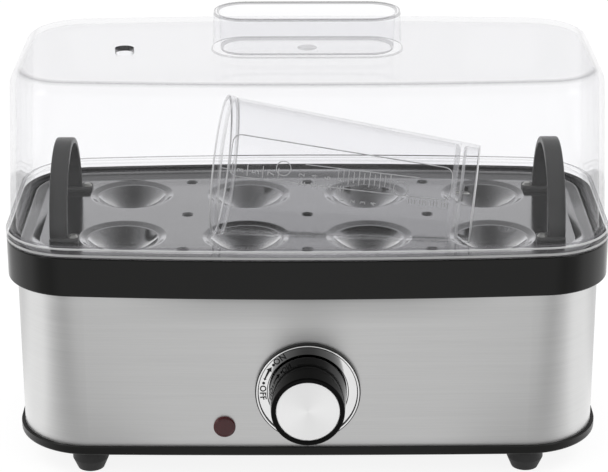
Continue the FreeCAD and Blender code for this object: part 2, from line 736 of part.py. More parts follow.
def make_rivet(x, y):
    """Rivet through a handle pad and the tray, headed above and below."""
    pad_top = field_top + PAD_THICKNESS
    profile = [
        (0, field_underside - RIVET_FOOT_HEIGHT),
        (RIVET_HEAD_RADIUS, field_underside - RIVET_FOOT_HEIGHT),
        (RIVET_HEAD_RADIUS, field_underside),
        (RIVET_RADIUS, field_underside),
        (RIVET_RADIUS, pad_top),
        (RIVET_HEAD_RADIUS, pad_top),
        (RIVET_CROWN_RADIUS, pad_top + RIVET_HEAD_HEIGHT),
        (0, pad_top + RIVET_HEAD_HEIGHT),
    ]
    return turned(profile, Vector(x, y, 0))


def make_lid_shell():
    """Clear lid in one moulding: flange, drafted wall, flat top, ring grip and vent hole."""
    foot = inset(rim_plan, LID_WALL_SETBACK)
    head = inset(foot, LID_DRAFT)
    outer = taper(foot, rim_top, head, lid_top)
    outer = outer.makeFillet(LID_EDGE, level_edges(outer, lid_top))
    flange = prism(inset(rim_plan, -LID_FLANGE_REACH), rim_top, lid_wall_bottom)
    flange = flange.makeFillet(RIM_EDGE, level_edges(flange, rim_top) + level_edges(flange, lid_wall_bottom))
    lip_plan = inset(rim_plan, RIM_WALL + SLIDE_GAP)
    lip_bottom = rim_top - LID_LIP_DROP
    lid = outer.fuse(flange).fuse(prism(lip_plan, lip_bottom, lid_wall_bottom))
    roof = lid_top - LID_SHEET
    hollow = taper(inset(foot, LID_SHEET), rim_top, inset(head, LID_SHEET), roof)
    hollow = hollow.makeFillet(LID_EDGE - LID_SHEET, level_edges(hollow, roof))
    lid = lid.cut(hollow)
    lid = lid.cut(prism(inset(lip_plan, LID_LIP_WALL), lip_bottom, lid_wall_bottom))
    grip_top = lid_top + GRIP_HEIGHT
    grip = taper(inset(grip_plan, -GRIP_DRAFT), lid_top - LID_SHEET / 2, grip_plan, grip_top)
    inner = inset(grip_plan, GRIP_WALL)
    grip = grip.cut(taper(inset(inner, GRIP_DRAFT), lid_top, inner, grip_top))
    lid = lid.fuse(grip)
    vent = rod(VENT_X, 0, lid_top - LID_SHEET - CUT_SPARE, VENT_RADIUS, LID_SHEET + 2 * CUT_SPARE)
    return lid.cut(vent).removeSplitter()


def beaker_placement():
    """Turns an upright beaker on its side so that its lower line lies just over the tray."""
    lay = FreeCAD.Rotation(Vector(0, 1, 0), 90 + degrees(beaker_slope))
    turn = FreeCAD.Rotation(Vector(0, 0, 1), BEAKER_TURN)
    rotation = turn.multiply(lay)
    low_point = rotation.multVec(Vector(BEAKER_MOUTH_RADIUS, 0, 0))
    target = Vector(beaker_mouth_x, beaker_mouth_y, field_top + REST_GAP)
    return FreeCAD.Placement(target - low_point, rotation)


def beaker_radius(h):
    """Outer radius of the beaker at a distance from its mouth."""
    return BEAKER_MOUTH_RADIUS - BEAKER_TAPER * h / BEAKER_LENGTH


def make_beaker_cup():
    """Tapered clear measuring beaker, floor set in from its base, boss for the pin."""
    floor = BEAKER_LENGTH - BEAKER_BASE_SKIRT
    neck = 2 * BEAKER_WALL
    boss = PIN_RADIUS + PIN_BOSS_WALL
    boss_top = floor + BEAKER_WALL + PIN_BOSS_HEIGHT
    profile = [
        (beaker_radius(0), 0),
        (beaker_radius(neck), neck),
        (beaker_base_radius, BEAKER_LENGTH),
        (beaker_base_radius - BEAKER_WALL, BEAKER_LENGTH),
        (beaker_radius(floor + BEAKER_WALL) - BEAKER_WALL, floor + BEAKER_WALL),
        (boss, floor + BEAKER_WALL),
        (boss, boss_top),
        (PIN_RADIUS, boss_top),
        (PIN_RADIUS, floor),
        (beaker_radius(floor) - BEAKER_WALL, floor),
        (beaker_radius(neck) - BEAKER_WALL, neck),
        (beaker_radius(0) - BEAKER_BEAD, 0),
    ]
    cup = turned(profile)
    cup.Placement = beaker_placement()
    return cup


def make_beaker_pin():
    """Steel piercing pin in the boss of the beaker's floor, its point inside the skirt."""
    floor = BEAKER_LENGTH - BEAKER_BASE_SKIRT
    profile = [
        (0, floor),
        (PIN_RADIUS, floor),
        (PIN_RADIUS, floor + PIN_LENGTH - 2 * PIN_RADIUS),
        (0, floor + PIN_LENGTH),
    ]
    pin = turned(profile)
    pin.Placement = beaker_placement()
    return pin


def make_dial_ring():
    """Bright dial ring: plate behind the nut, raised face for the marks, raised outer lip."""
    profile = [
        (bush_radius + HOLE_GAP, 0),
        (dial_radius, 0),
        (dial_radius, DIAL_LIP_HEIGHT - DIAL_LIP_WIDTH / 2),
        (dial_radius - DIAL_LIP_WIDTH / 3, DIAL_LIP_HEIGHT),
        (dial_lip_inner + DIAL_LIP_WIDTH / 3, DIAL_LIP_HEIGHT),
        (dial_lip_inner, DIAL_FACE_HEIGHT),
        (dial_well_radius, DIAL_FACE_HEIGHT),
        (dial_well_radius, DIAL_PLATE),
        (bush_radius + HOLE_GAP, DIAL_PLATE),
    ]
    return turned(profile, Vector(0, front_face, dial_z), Vector(0, -1, 0))


def switch_face():
    """Front of the switch housing, against the inside of the shell."""
    return -face_depth(inset(body_plan, SHELL_SHEET), SWITCH_WIDTH / 2)


def switch_back():
    """Back of the switch housing, where its wires leave."""
    return switch_face() + SWITCH_DEPTH


def make_switch_body():
    """Rotary switch housing behind the shell, with its threaded bush through it."""
    forward = Vector(0, -1, 0)
    face = switch_face()
    middle = face + SWITCH_DEPTH / 2
    bottom = dial_z - SWITCH_HEIGHT / 2
    bush_length = face - front_face + BUSH_REACH
    body = box(0, middle, bottom, SWITCH_WIDTH, SWITCH_DEPTH, SWITCH_HEIGHT)
    body = body.fuse(rod(0, face, dial_z, bush_radius, bush_length, forward))
    bore_length = middle - face + bush_length
    return body.cut(rod(0, middle, dial_z, SHAFT_RADIUS + SHAFT_FIT, bore_length, forward))


def make_switch_nut():
    """Flat hexagon nut that clamps the dial ring and the switch to the shell."""
    nut = Part.Face(Part.makePolygon(hexagon(switch_nut_radius))).extrude(Vector(0, 0, SWITCH_NUT_HEIGHT))
    nut = nut.cut(rod(0, 0, 0, bush_radius, SWITCH_NUT_HEIGHT))
    seat = Vector(0, front_face - DIAL_PLATE, dial_z)
    nut.Placement = FreeCAD.Placement(seat, FreeCAD.Rotation(Vector(1, 0, 0), 90))
    return nut


def disc_seat():
    """Level of the knob's seat for its disc, measured from the shell."""
    return KNOB_REACH - DISC_RECESS - DISC_THICKNESS


def make_switch_shaft():
    """Switch shaft from inside the housing to the knob's hub."""
    start = switch_face() + SWITCH_DEPTH / 2 - REST_GAP
    length = start - front_face + disc_seat() - KNOB_WALL
    return rod(0, start, dial_z, SHAFT_RADIUS, length, Vector(0, -1, 0))


def make_knob():
    """Hollow black knob with a hub on the shaft and a shallow seat for its bright disc."""
    hub_back = BUSH_REACH + REST_GAP
    hub_radius = SHAFT_RADIUS + KNOB_HUB_WALL
    crown = disc_seat() - KNOB_WALL
    back = DIAL_PLATE + KNOB_GAP
    profile = [
        (KNOB_BASE_RADIUS - KNOB_WALL, back),
        (KNOB_BASE_RADIUS, back),
        (knob_front_radius, KNOB_REACH),
        (disc_radius, KNOB_REACH),
        (disc_radius, disc_seat()),
        (0, disc_seat()),
        (0, crown),
        (SHAFT_RADIUS, crown),
        (SHAFT_RADIUS, hub_back),
        (hub_radius, hub_back),
        (hub_radius, crown),
        (knob_front_radius - KNOB_WALL, crown),
    ]
    knob = turned(profile)
    rims = level_edges(knob, KNOB_REACH)
    knob = knob.makeFillet(KNOB_EDGE, [max(rims, key=lambda edge: edge.Curve.Radius)])
    knob.Placement = FreeCAD.Placement(Vector(0, front_face, dial_z), FreeCAD.Rotation(Vector(1, 0, 0), 90))
    return knob


def make_knob_disc():
    """Spun aluminium disc glued in the front of the knob."""
    return rod(0, front_face - disc_seat(), dial_z, disc_radius, DISC_THICKNESS, Vector(0, -1, 0))


def lamp_face():
    """Front of the shell at the lamp, where the bow has moved it back a little."""
    return -face_depth(body_plan, abs(lamp_x) - LENS_RADIUS)


def make_lamp_lens():
    """Red lens with a slightly domed face, in front of the lamp body."""
    profile = [
        (0, 0),
        (LENS_RADIUS, 0),
        (LENS_RADIUS, LENS_EDGE),
        (LENS_RADIUS - LENS_EDGE, LENS_EDGE + LENS_CROWN),
        (0, LENS_EDGE + LENS_CROWN + LENS_DOME),
    ]
    return turned(profile, Vector(lamp_x, lamp_face(), lamp_z), Vector(0, -1, 0))


def make_lamp_body():
    """Neon lamp holder behind the lens, clipped in the shell."""
    back = Vector(0, 1, 0)
    body = rod(lamp_x, lamp_face(), lamp_z, lamp_body_radius, LAMP_BODY_LENGTH, back)
    collar_face = lamp_face() + SHELL_SHEET + REST_GAP
    collar = rod(lamp_x, collar_face, lamp_z, lamp_body_radius + LAMP_COLLAR, 2 * LAMP_COLLAR, back)
    return body.fuse(collar)


def make_cord_grommet():
    """Rubber grommet in the back of the shell, bored for the supply cord."""
    face = face_depth(body_plan, grommet_x - grommet_flange_radius)
    groove = SHELL_SHEET + 2 * REST_GAP
    profile = [
        (GROMMET_BORE_RADIUS, -GROMMET_FLANGE),
        (grommet_flange_radius - GROMMET_TAPER, -GROMMET_FLANGE),
        (grommet_flange_radius - GROMMET_TAPER, 0),
        (grommet_neck_radius, 0),
        (grommet_neck_radius, groove),
        (grommet_flange_radius, groove),
        (grommet_flange_radius - GROMMET_TAPER, groove + GROMMET_FLANGE),
        (GROMMET_BORE_RADIUS, groove + GROMMET_FLANGE),
    ]
    start = face - SHELL_SHEET - REST_GAP
    return turned(profile, Vector(grommet_x, start, grommet_z), Vector(0, 1, 0))


def make_terminal_block():
    """Terminal block on the floor of the base plate, with two recessed clamp wells."""
    block = box(BLOCK_X, BLOCK_Y, floor_top, BLOCK_WIDTH, BLOCK_DEPTH, BLOCK_HEIGHT)
    block = block.cut(rod(BLOCK_X, BLOCK_Y, floor_top, SCREW_RADIUS, BLOCK_HEIGHT))
    well_floor = floor_top + BLOCK_HEIGHT - TERMINAL_WELL_DEPTH
    for side in (-1, 1):
        x = BLOCK_X + side * TERMINAL_SIDE
        block = block.cut(rod(x, BLOCK_Y, well_floor, TERMINAL_WELL_RADIUS, BLOCK_HEIGHT))
    return block


def make_terminal_screw():
    """Screw through the terminal block into the base plate."""
    block_top = floor_top + BLOCK_HEIGHT
    head = rod(BLOCK_X, BLOCK_Y, block_top, SCREW_HEAD_RADIUS, SCREW_HEAD_HEIGHT)
    return head.fuse(rod(BLOCK_X, BLOCK_Y, base_bottom, SCREW_RADIUS, block_top - base_bottom))


def block_face(side):
    """Place on the front of the terminal block where a wire enters."""
    return Vector(BLOCK_X + side * TERMINAL_SIDE, BLOCK_Y - BLOCK_DEPTH / 2, floor_top + TERMINAL_HEIGHT)


def switch_tab(side, height):
    """Place on the back of the switch housing where a wire leaves."""
    return Vector(side * SWITCH_WIDTH / 4, switch_back(), dial_z + height)


def pin_end(side):
    """Lower end of a heater pin."""
    foot = basin_underside - ELEMENT_RADIUS - ELEMENT_LEG_DROP - PIN_END_LENGTH
    return Vector(side * ELEMENT_LEG_X, -element_half_depth, foot)


def make_wire_feed():
    """Wire from the terminal block to the back of the switch."""
    start = block_face(-1)
    end = switch_tab(1, -SWITCH_HEIGHT / 4)
    turn_y = start.y - WIRE_RUN
    points = [start, Vector(start.x, turn_y, start.z), Vector(end.x, turn_y, end.z), end]
    return tube(points, WIRE_RADIUS, WIRE_BEND)


def make_wire_return():
    """Wire from the terminal block up to the right heater pin."""
    start = block_face(1)
    end = pin_end(1)
    points = [start, Vector(start.x, end.y, start.z), Vector(end.x, end.y, start.z), end]
    return tube(points, WIRE_RADIUS, WIRE_BEND)


def make_wire_heater():
    """Wire from the switch that hangs a little before it rises to the left heater pin."""
    start = switch_tab(-1, -SWITCH_HEIGHT / 4)
    end = pin_end(-1)
    low = Vector(end.x, end.y, min(start.z, end.z) - TAIL_SLACK)
    return tube([start, Vector(start.x, start.y + TAIL_RUN, start.z), low, end], WIRE_RADIUS, TAIL_BEND)


def make_wire_lamp():
    """Wire from the switch to the back of the lamp."""
    start = switch_tab(-1, SWITCH_HEIGHT / 4)
    end = Vector(lamp_x, lamp_face() + LAMP_BODY_LENGTH, lamp_z)
    turn_y = start.y + WIRE_RUN
    points = [start, Vector(start.x, turn_y, start.z), Vector(end.x, turn_y, end.z), end]
    return tube(points, WIRE_RADIUS, WIRE_BEND)


def all_parts():
    """Every node with its solid."""
    parts = {
        "base_plate": make_base_plate(),
        "body_shell": make_body_shell(),
        "rim_band": make_rim_band(),
        "base_screws": make_base_screws(),
        "pan_gasket": make_pan_gasket(),
        "heating_pan": make_heating_pan(),
        "pan_nuts": make_pan_nuts(),
        "stud_nuts": make_stud_nuts(),
        "heater_element": make_heater_element(),
        "heater_pins": make_heater_pins(),
        "heater_clamp_left": make_heater_clamp(-1),
        "heater_clamp_right": make_heater_clamp(1),
        "thermostat": make_thermostat(),
        "thermostat_bracket": make_thermostat_bracket(),
        "thermal_fuse": make_thermal_fuse(),
        "egg_tray": make_egg_tray(),
        "tray_handle_left": make_tray_handle(-1),
        "tray_handle_right": make_tray_handle(1),
        "lid_shell": make_lid_shell(),
        "beaker_cup": make_beaker_cup(),
        "beaker_pin": make_beaker_pin(),
        "dial_ring": make_dial_ring(),
        "switch_body": make_switch_body(),
        "switch_nut": make_switch_nut(),
        "switch_shaft": make_switch_shaft(),
        "knob": make_knob(),
        "knob_disc": make_knob_disc(),
        "lamp_lens": make_lamp_lens(),
        "lamp_body": make_lamp_body(),
        "cord_grommet": make_cord_grommet(),
        "terminal_block": make_terminal_block(),
        "terminal_screw": make_terminal_screw(),
        "wire_feed": make_wire_feed(),
        "wire_return": make_wire_return(),
        "wire_heater": make_wire_heater(),
        "wire_lamp": make_wire_lamp(),
    }
    for name, (x, y) in four_ways(foot_x, foot_y).items():
        parts["foot_" + name] = make_foot(x, y)
    for side, hand in ((-1, "left"), (1, "right")):
        for end, (x, y) in rivet_places(side).items():
            parts["rivet_" + hand + "_" + end] = make_rivet(x, y)
    return parts


os.makedirs("parts", exist_ok=True)
for node, solid in all_parts().items():
    assert solid.isValid(), node
    solid.translate(Vector(0, -footprint_middle, 0))
    solid.exportStep("parts/" + node + ".step")
    span = solid.BoundBox
    corners = (span.XMin, span.XMax, span.YMin, span.YMax, span.ZMin, span.ZMax)
    print(node, len(solid.Solids), round(solid.Volume), [round(value, 1) for value in corners])
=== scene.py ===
"""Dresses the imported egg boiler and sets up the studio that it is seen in."""
import json
import math

import bpy
import numpy as np
from bpy.props import FloatProperty, FloatVectorProperty, PointerProperty
from mathutils import Matrix, Vector


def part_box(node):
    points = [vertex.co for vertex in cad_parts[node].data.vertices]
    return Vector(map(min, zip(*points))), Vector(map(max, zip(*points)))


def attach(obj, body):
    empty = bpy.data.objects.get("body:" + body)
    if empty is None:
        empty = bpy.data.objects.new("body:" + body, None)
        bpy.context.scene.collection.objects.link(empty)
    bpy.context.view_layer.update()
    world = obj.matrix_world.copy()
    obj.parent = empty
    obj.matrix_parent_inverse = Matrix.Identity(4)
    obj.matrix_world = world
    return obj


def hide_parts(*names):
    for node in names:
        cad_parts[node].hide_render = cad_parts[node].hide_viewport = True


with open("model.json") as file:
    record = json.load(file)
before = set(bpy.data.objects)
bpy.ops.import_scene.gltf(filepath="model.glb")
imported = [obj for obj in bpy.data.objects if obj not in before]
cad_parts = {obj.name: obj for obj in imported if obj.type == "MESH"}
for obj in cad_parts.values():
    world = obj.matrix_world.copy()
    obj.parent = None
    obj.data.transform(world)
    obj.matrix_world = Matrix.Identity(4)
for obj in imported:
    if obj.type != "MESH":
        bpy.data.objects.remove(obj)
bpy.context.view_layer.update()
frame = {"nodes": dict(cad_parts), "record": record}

bl_info = {
    "name": "Egg boiler dresser",
    "version": (1, 0, 0),
    "blender": (4, 5, 0),
    "location": "View3D > Sidebar > Egg boiler",
    "description": "Builds the clear lid, beaker, tray, dial and finishes of a countertop egg boiler",
    "category": "Object",
}

MM = 0.001

# Heights and plans shared by the pieces, in metres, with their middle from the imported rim
RIM_LOW, RIM_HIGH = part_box("rim_band")
MIDDLE_Y = (RIM_LOW.y + RIM_HIGH.y) / 2
RIM_PLAN = (RIM_HIGH.x, (RIM_HIGH.y - RIM_LOW.y) / 2, 29.6 * MM, 1240 * MM)
GRIP_PLAN = (38.6 * MM, 15 * MM, 13 * MM, 3000 * MM)
RIM_TOP = RIM_HIGH.z
FIELD_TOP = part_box("tray_handle_left")[0].z
DIAL_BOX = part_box("dial_ring")
DIAL_CENTRE = Vector((0, DIAL_BOX[1].y, (DIAL_BOX[0].z + DIAL_BOX[1].z) / 2))
DIAL_RIM = 21.4 * MM
FORWARD = Vector((0, -1, 0))
UP = Vector((0, 0, 1))
CUP_MARGIN = 1.0 * MM
STEAM_ROW = 41.3 * MM
VENT_X = -76 * MM

# How many parts a curve is divided into
CORNER_STEPS = 14
BOW_STEPS = 16
SIDE_STEPS = 4
SOFT_STEPS = 5
SHELL_STEPS = 9
BEAKER_STEPS = 96

# Longest part of a bent bar, longest rounding as a share of a side, and how far out its guard points stand
BEND_STEP = 1.2 * MM
SIDE_SHARE = 0.42
GUARD = 1.15

# Edges sharper than this stay sharp, and a capital is this share of its font's size
SHARP_ANGLE = math.radians(32)
CAPITAL_SHARE = 0.7
QUARTER_TURN = math.pi / 2

# Finishes by name, filled by the first operator
FINISHES = {}

# Radians of fine turned rings in a metre, and plain white
FINE_RINGS = 5200.0
WHITE = (1, 1, 1, 1)

# The studio in metres and watts, with glows as shares of white and softboxes for the right hand side
FLOOR_SPAN = 12.0
FLOOR_GLOW = 0.88
BOARD_GLOW = 1.45
BOARD_STOPS = [(0.0, 0.70), (0.20, 0.67), (0.27, 0.42), (0.34, 0.52), (0.41, 1.0), (0.52, 1.0), (0.62, 0.72),
               (1.0, 0.70)]
ROOM_GLOW = 0.58
CEILING_STOPS = [(0.0, 1.0), (0.20, 1.0), (0.30, 0.62), (0.36, 0.48), (0.52, 0.36), (1.0, 0.20)]
SOFTBOXES = (
    ("high {} softbox", (0.85, 0.10, 0.95), 0.6, 0.6, 4.2, False),
    ("{} softbox", (1.15, -0.75, 0.55), 0.35, 0.9, 1.6, True),
)
LAMP_TARGET = (0, MIDDLE_Y, 0.08)

# The camera: place in metres, tilt and roll in radians, lens in millimetres
CAMERA_PLACE = (-0.00145, -0.85097, 0.41614)
CAMERA_TILT = math.radians(90 - 20.97)
CAMERA_ROLL = -0.0022
CAMERA_LENS = 126.58


def millimetres(name, default, text):
    """A length property whose default is given in millimetres."""
    return FloatProperty(name=name, description=text, default=default * MM, unit="LENGTH", precision=5)


def colour(name, default, text):
    """A colour property."""
    return FloatVectorProperty(name=name, description=text, default=default, size=3, subtype="COLOR",
                               min=0, max=1)


class LidSizes(bpy.types.PropertyGroup):
    """Sizes of the clear lid."""
    sheet: millimetres("Sheet", 2.2, "Thickness of the lid's wall")
    edge: millimetres("Edge", 6.5, "Rounding between the lid's wall and its top")
    grip_wall: millimetres("Grip wall", 2.2, "Thickness of the raised grip ring")
    grip_height: millimetres("Grip height", 16.1, "How far the grip ring stands over the lid's top")
    vent: millimetres("Vent", 4.0, "Radius of the steam vent")


class TraySizes(bpy.types.PropertyGroup):
    """Sizes of the egg tray and its handles."""
    pitch: millimetres("Cup pitch", 51.3, "Distance between the middles of two cups")
    cup: millimetres("Cup radius", 18.0, "Radius of a cup where it leaves the field")
    sheet: millimetres("Sheet", 0.8, "Thickness of the tray's sheet")
    steam: millimetres("Steam hole", 1.6, "Radius of a steam hole")
    strap: millimetres("Strap width", 7.4, "Width of a handle's arched strap")
    strap_edge: millimetres("Strap edge", 0.8, "Rounding of the strap's long edges")


class BeakerSizes(bpy.types.PropertyGroup):
    """Sizes of the measuring beaker."""
    length: millimetres("Length", 106.0, "Length of the beaker from mouth to base")
    mouth: millimetres("Mouth radius", 29.4, "Outer radius at the mouth")
    base: millimetres("Base radius", 20.2, "Outer radius at the base")
    wall: millimetres("Wall", 1.3, "Thickness of the beaker's wall")
    relief: millimetres("Relief", 0.18, "How far the moulded scale stands over the wall")


class DialSizes(bpy.types.PropertyGroup):
    """Sizes of the dial ring, the knob and the lamp."""
    lip: millimetres("Lip height", 2.6, "Height of the dial ring's outer lip")
    face: millimetres("Face height", 1.3, "Height of the printed face of the dial ring")
    print_radius: millimetres("Print radius", 18.7, "Radius of the line that the dial's marks follow")
    letter: millimetres("Letter height", 2.5, "Height of the dial's letters")
    knob_reach: millimetres("Knob reach", 20.9, "How far the knob's front stands from the body")
    lens: millimetres("Lens radius", 4.6, "Radius of the lamp's lens")


class FinishColours(bpy.types.PropertyGroup):
    """Colours of the main finishes."""
    steel: colour("Steel", (0.52, 0.52, 0.518), "Brushed steel of the body")
    tray: colour("Tray", (0.60, 0.60, 0.61), "Satin steel of the tray")
    black: colour("Black", (0.0105, 0.0105, 0.0098), "Black moulded rim and knob")
    handle: colour("Handle", (0.056, 0.056, 0.0562), "Heat resistant moulding of the handles")
    disc: colour("Disc", (0.93, 0.93, 0.93), "Spun aluminium disc of the knob")
    lens: colour("Lens", (0.085, 0.012, 0.015), "Red lens of the lamp")
    floor: colour("Floor", (0.18, 0.18, 0.18), "Studio floor")


class Amount:
    """A number in a finish. Arithmetic on it adds Math nodes to the finish."""

    def __init__(self, finish, socket):
        self.finish = finish
        self.socket = socket

    def result(self, operation, *values):
        """What one Math node makes of its values."""
        node = self.finish.node("ShaderNodeMath", dict(enumerate(values)), operation=operation)
        return Amount(self.finish, node.outputs[0])

    def __add__(self, other):
        return self.result("ADD", self, other)

    def __sub__(self, other):
        return self.result("SUBTRACT", self, other)

    def __rsub__(self, other):
        return self.result("SUBTRACT", other, self)

    def __mul__(self, other):
        return self.result("MULTIPLY", self, other)

    def __truediv__(self, other):
        return self.result("DIVIDE", self, other)

    def __pow__(self, other):
        return self.result("POWER", self, other)

    def wave(self):
        """The sine of the number."""
        return self.result("SINE", self)

    def root(self):
        """The square root of the number."""
        return self.result("SQRT", self)

    def unsigned(self):
        """The number without its sign."""
        return self.result("ABSOLUTE", self)

    def angle(self, other):
        """The angle whose tangent is this number over another."""
        return self.result("ARCTAN2", self, other)

    def swing(self, size):
        """How far noise stands from its middle, scaled to a size."""
        return (self - 0.5) * size

    __radd__ = __add__


class Finish:
    """One material or world, built node by node."""

    def __init__(self, name, kind="materials"):
        self.made = getattr(bpy.data, kind).new(name)
        self.made.use_nodes = True
        self.tree = self.made.node_tree
        self.tree.nodes.clear()

    def node(self, kind, inputs=None, **settings):
        """Adds a node, changes its settings, then sets its sockets by name or number."""
        node = self.tree.nodes.new(kind)
        for key, value in settings.items():
            setattr(node, key, value)
        for key, value in (inputs or {}).items():
            socket = node.inputs[key]
            if isinstance(value, Amount):
                value = value.socket
            if isinstance(value, bpy.types.NodeSocket):
                self.tree.links.new(value, socket)
            else:
                socket.default_value = value
        return node

    def out(self, kind, inputs=None):
        """The first output of a new node."""
        return self.node(kind, inputs).outputs[0]

    def place(self, centre=(0, 0, 0), stretch=(1, 1, 1)):
        """Object coordinates moved to a centre and stretched along each axis."""
        source = self.node("ShaderNodeTexCoord").outputs["Object"]
        offset = [-c * s for c, s in zip(centre, stretch)]
        return self.out("ShaderNodeMapping", {"Vector": source, "Location": offset, "Scale": stretch})

    def axis(self, vector, name):
        """One coordinate of a vector."""
        return Amount(self, self.node("ShaderNodeSeparateXYZ", {0: vector}).outputs[name])

    def noise(self, vector, scale=1.0, detail=2.0, rough=0.5):
        """Cloudy noise between nought and one."""
        inputs = {"Vector": vector, "Scale": scale, "Detail": detail, "Roughness": rough}
        return Amount(self, self.out("ShaderNodeTexNoise", inputs))

    def ramp(self, amount, stops):
        """A number shaped by the straight lines between its stops, each a position and a grey."""
        node = self.node("ShaderNodeValToRGB", {0: amount})
        elements = node.color_ramp.elements
        while len(elements) < len(stops):
            elements.new(1.0)
        for element, (position, grey) in zip(elements, stops):
            element.position = position
            element.color = (grey, grey, grey, 1)
        return Amount(self, node.outputs[0])

    def facing(self, blend=0.5):
        """Nought where the surface faces the eye, one where it turns away."""
        return Amount(self, self.node("ShaderNodeLayerWeight", {"Blend": blend}).outputs["Facing"])

    def thrown_back(self):
        """Share of light that clear plastic throws back: a twenty-fifth straight on, all of it edge on."""
        return self.facing() ** 5.0 * 0.96 + 0.04

    def mark(self, name):
        """A number that each vertex of the piece carries."""
        return Amount(self, self.node("ShaderNodeAttribute", attribute_name=name).outputs["Fac"])

    def ray(self, kind):
        """One for light paths of a kind, else nought."""
        return Amount(self, self.node("ShaderNodeLightPath").outputs["Is " + kind + " Ray"])

    def blend(self, factor, first, second):
        """A colour between two colours, which are a Mix node's inputs 6 and 7 and its output 2."""
        inputs = {0: factor, 6: self.full(first), 7: self.full(second)}
        return self.node("ShaderNodeMix", inputs, data_type="RGBA").outputs[2]

    def tones(self, factor, tint, darkest, lightest):
        """A colour that wanders between a darker and a lighter tone of itself."""
        return self.blend(factor, scaled(tint, darkest), scaled(tint, lightest))

    def full(self, value):
        """A colour with its fourth number, or a socket as it is."""
        if isinstance(value, (Amount, bpy.types.NodeSocket)):
            return value
        return (*value[:3], 1.0)

    def bump(self, height, strength, distance):
        """Small surface relief from a number."""
        return self.out("ShaderNodeBump", {"Height": height, "Strength": strength, "Distance": distance})

    def principled(self, base, roughness, **others):
        """The usual surface. Other sockets are given with underscores for spaces."""
        inputs = {"Base Color": self.full(base), "Roughness": roughness}
        inputs.update({key.replace("_", " "): value for key, value in others.items()})
        return self.out("ShaderNodeBsdfPrincipled", inputs)

    def mix(self, factor, first, second):
        """One surface laid over another by a factor."""
        return self.out("ShaderNodeMixShader", {0: factor, 1: first, 2: second})

    def done(self, surface, output="ShaderNodeOutputMaterial"):
        """Ends the material or world and returns it."""
        self.node(output, {"Surface": surface})
        return self.made


def scaled(values, factor):
    """A colour made lighter or darker."""
    return tuple(min(1.0, v * factor) for v in values)


def painted_rim_shade(finish):
    """Painted shade on the body right under the rim, where the rim stands out furthest: the rim's shade and
    its dark reflection drawn into the steel's colour.

    It is a ramp of the height over the rim's height, times a ramp of the distance from the middle."""
    place = finish.place()
    near = finish.ramp(finish.axis(place, "Z") / RIM_HIGH.z, [(0.70, 0.0), (0.79, 0.35), (0.84, 1.0)])
    aside = (finish.axis(place, "X") / (0.64 * RIM_HIGH.x)).unsigned()
    return near * finish.ramp(aside, [(0.0, 0.85), (0.5, 0.65), (1.0, 0.0)])


def brushed_metal(name, tint, lines, roughness, spread):
    """Metal with fine straight brushing: noise stretched far along the lines and packed tight across them.

    The gloss spreads across the lines, which run round the upright axis."""
    finish = Finish(name)
    fine = finish.noise(finish.place(stretch=lines), detail=4.0, rough=0.75)
    wide = finish.noise(finish.place(stretch=[v * 0.22 for v in lines]))
    soft = finish.noise(finish.place(stretch=(9, 9, 9)))
    streak = fine * 0.7 + wide * 0.3
    sharpened = finish.ramp(streak, [(0.32, 0.0), (0.68, 1.0)])
    base = finish.tones(sharpened, tint, 1 - spread, 1 + spread)
    # Painted shade: the steel is darker right under the rim, for the rim's shade and reflection.
    base = finish.blend(painted_rim_shade(finish), base, scaled(tint, 0.17))
    rough = roughness + streak.swing(0.16) + soft.swing(0.05)
    relief = finish.bump(fine, strength=0.10, distance=0.02 * MM)
    surface = finish.principled(base, rough, Metallic=1.0, Normal=relief, Anisotropic=0.75,
                                Anisotropic_Rotation=0.25)
    return finish.done(surface)


def plain_metal(name, tint, roughness, grain=900.0):
    """Metal with a fine even grain and faint cloudy wear."""
    finish = Finish(name)
    cloud = finish.noise(finish.place(), scale=60.0, detail=4.0, rough=0.55)
    fine = finish.noise(finish.place(), scale=grain)
    base = finish.tones(cloud, tint, 0.9, 1.07)
    rough = roughness + cloud.swing(0.10) + fine.swing(0.06)
    relief = finish.bump(fine, strength=0.06, distance=0.03 * MM)
    return finish.done(finish.principled(base, rough, Metallic=1.0, Normal=relief))


def moulded_plastic(name, tint, roughness, grain, size, level):
    """Moulded plastic: an even colour, faint flow clouds in the gloss, and a fine grain."""
    finish = Finish(name)
    cloud = finish.noise(finish.place(), scale=26.0, detail=3.0)
    fine = finish.noise(finish.place(), scale=size, rough=0.6)
    base = finish.tones(cloud, tint, 0.85, 1.18)
    rough = roughness + cloud.swing(0.07) + fine.swing(0.08)
    relief = finish.bump(fine, strength=grain, distance=0.04 * MM)
    return finish.done(finish.principled(base, rough, Normal=relief, Specular_IOR_Level=level))


def speckled(name, tint, roughness, size=420.0):
    """Matt moulding compound, rubber, ceramic or ink with a soft speckle."""
    finish = Finish(name)
    spots = finish.noise(finish.place(), scale=size, detail=4.0, rough=0.65)
    cloud = finish.noise(finish.place(), scale=40.0)
    base = finish.tones(finish.ramp(spots, [(0.35, 0.0), (0.65, 1.0)]), tint, 0.82, 1.15)
    relief = finish.bump(spots, strength=0.18, distance=0.05 * MM)
    return finish.done(finish.principled(base, roughness + cloud.swing(0.10), Normal=relief))


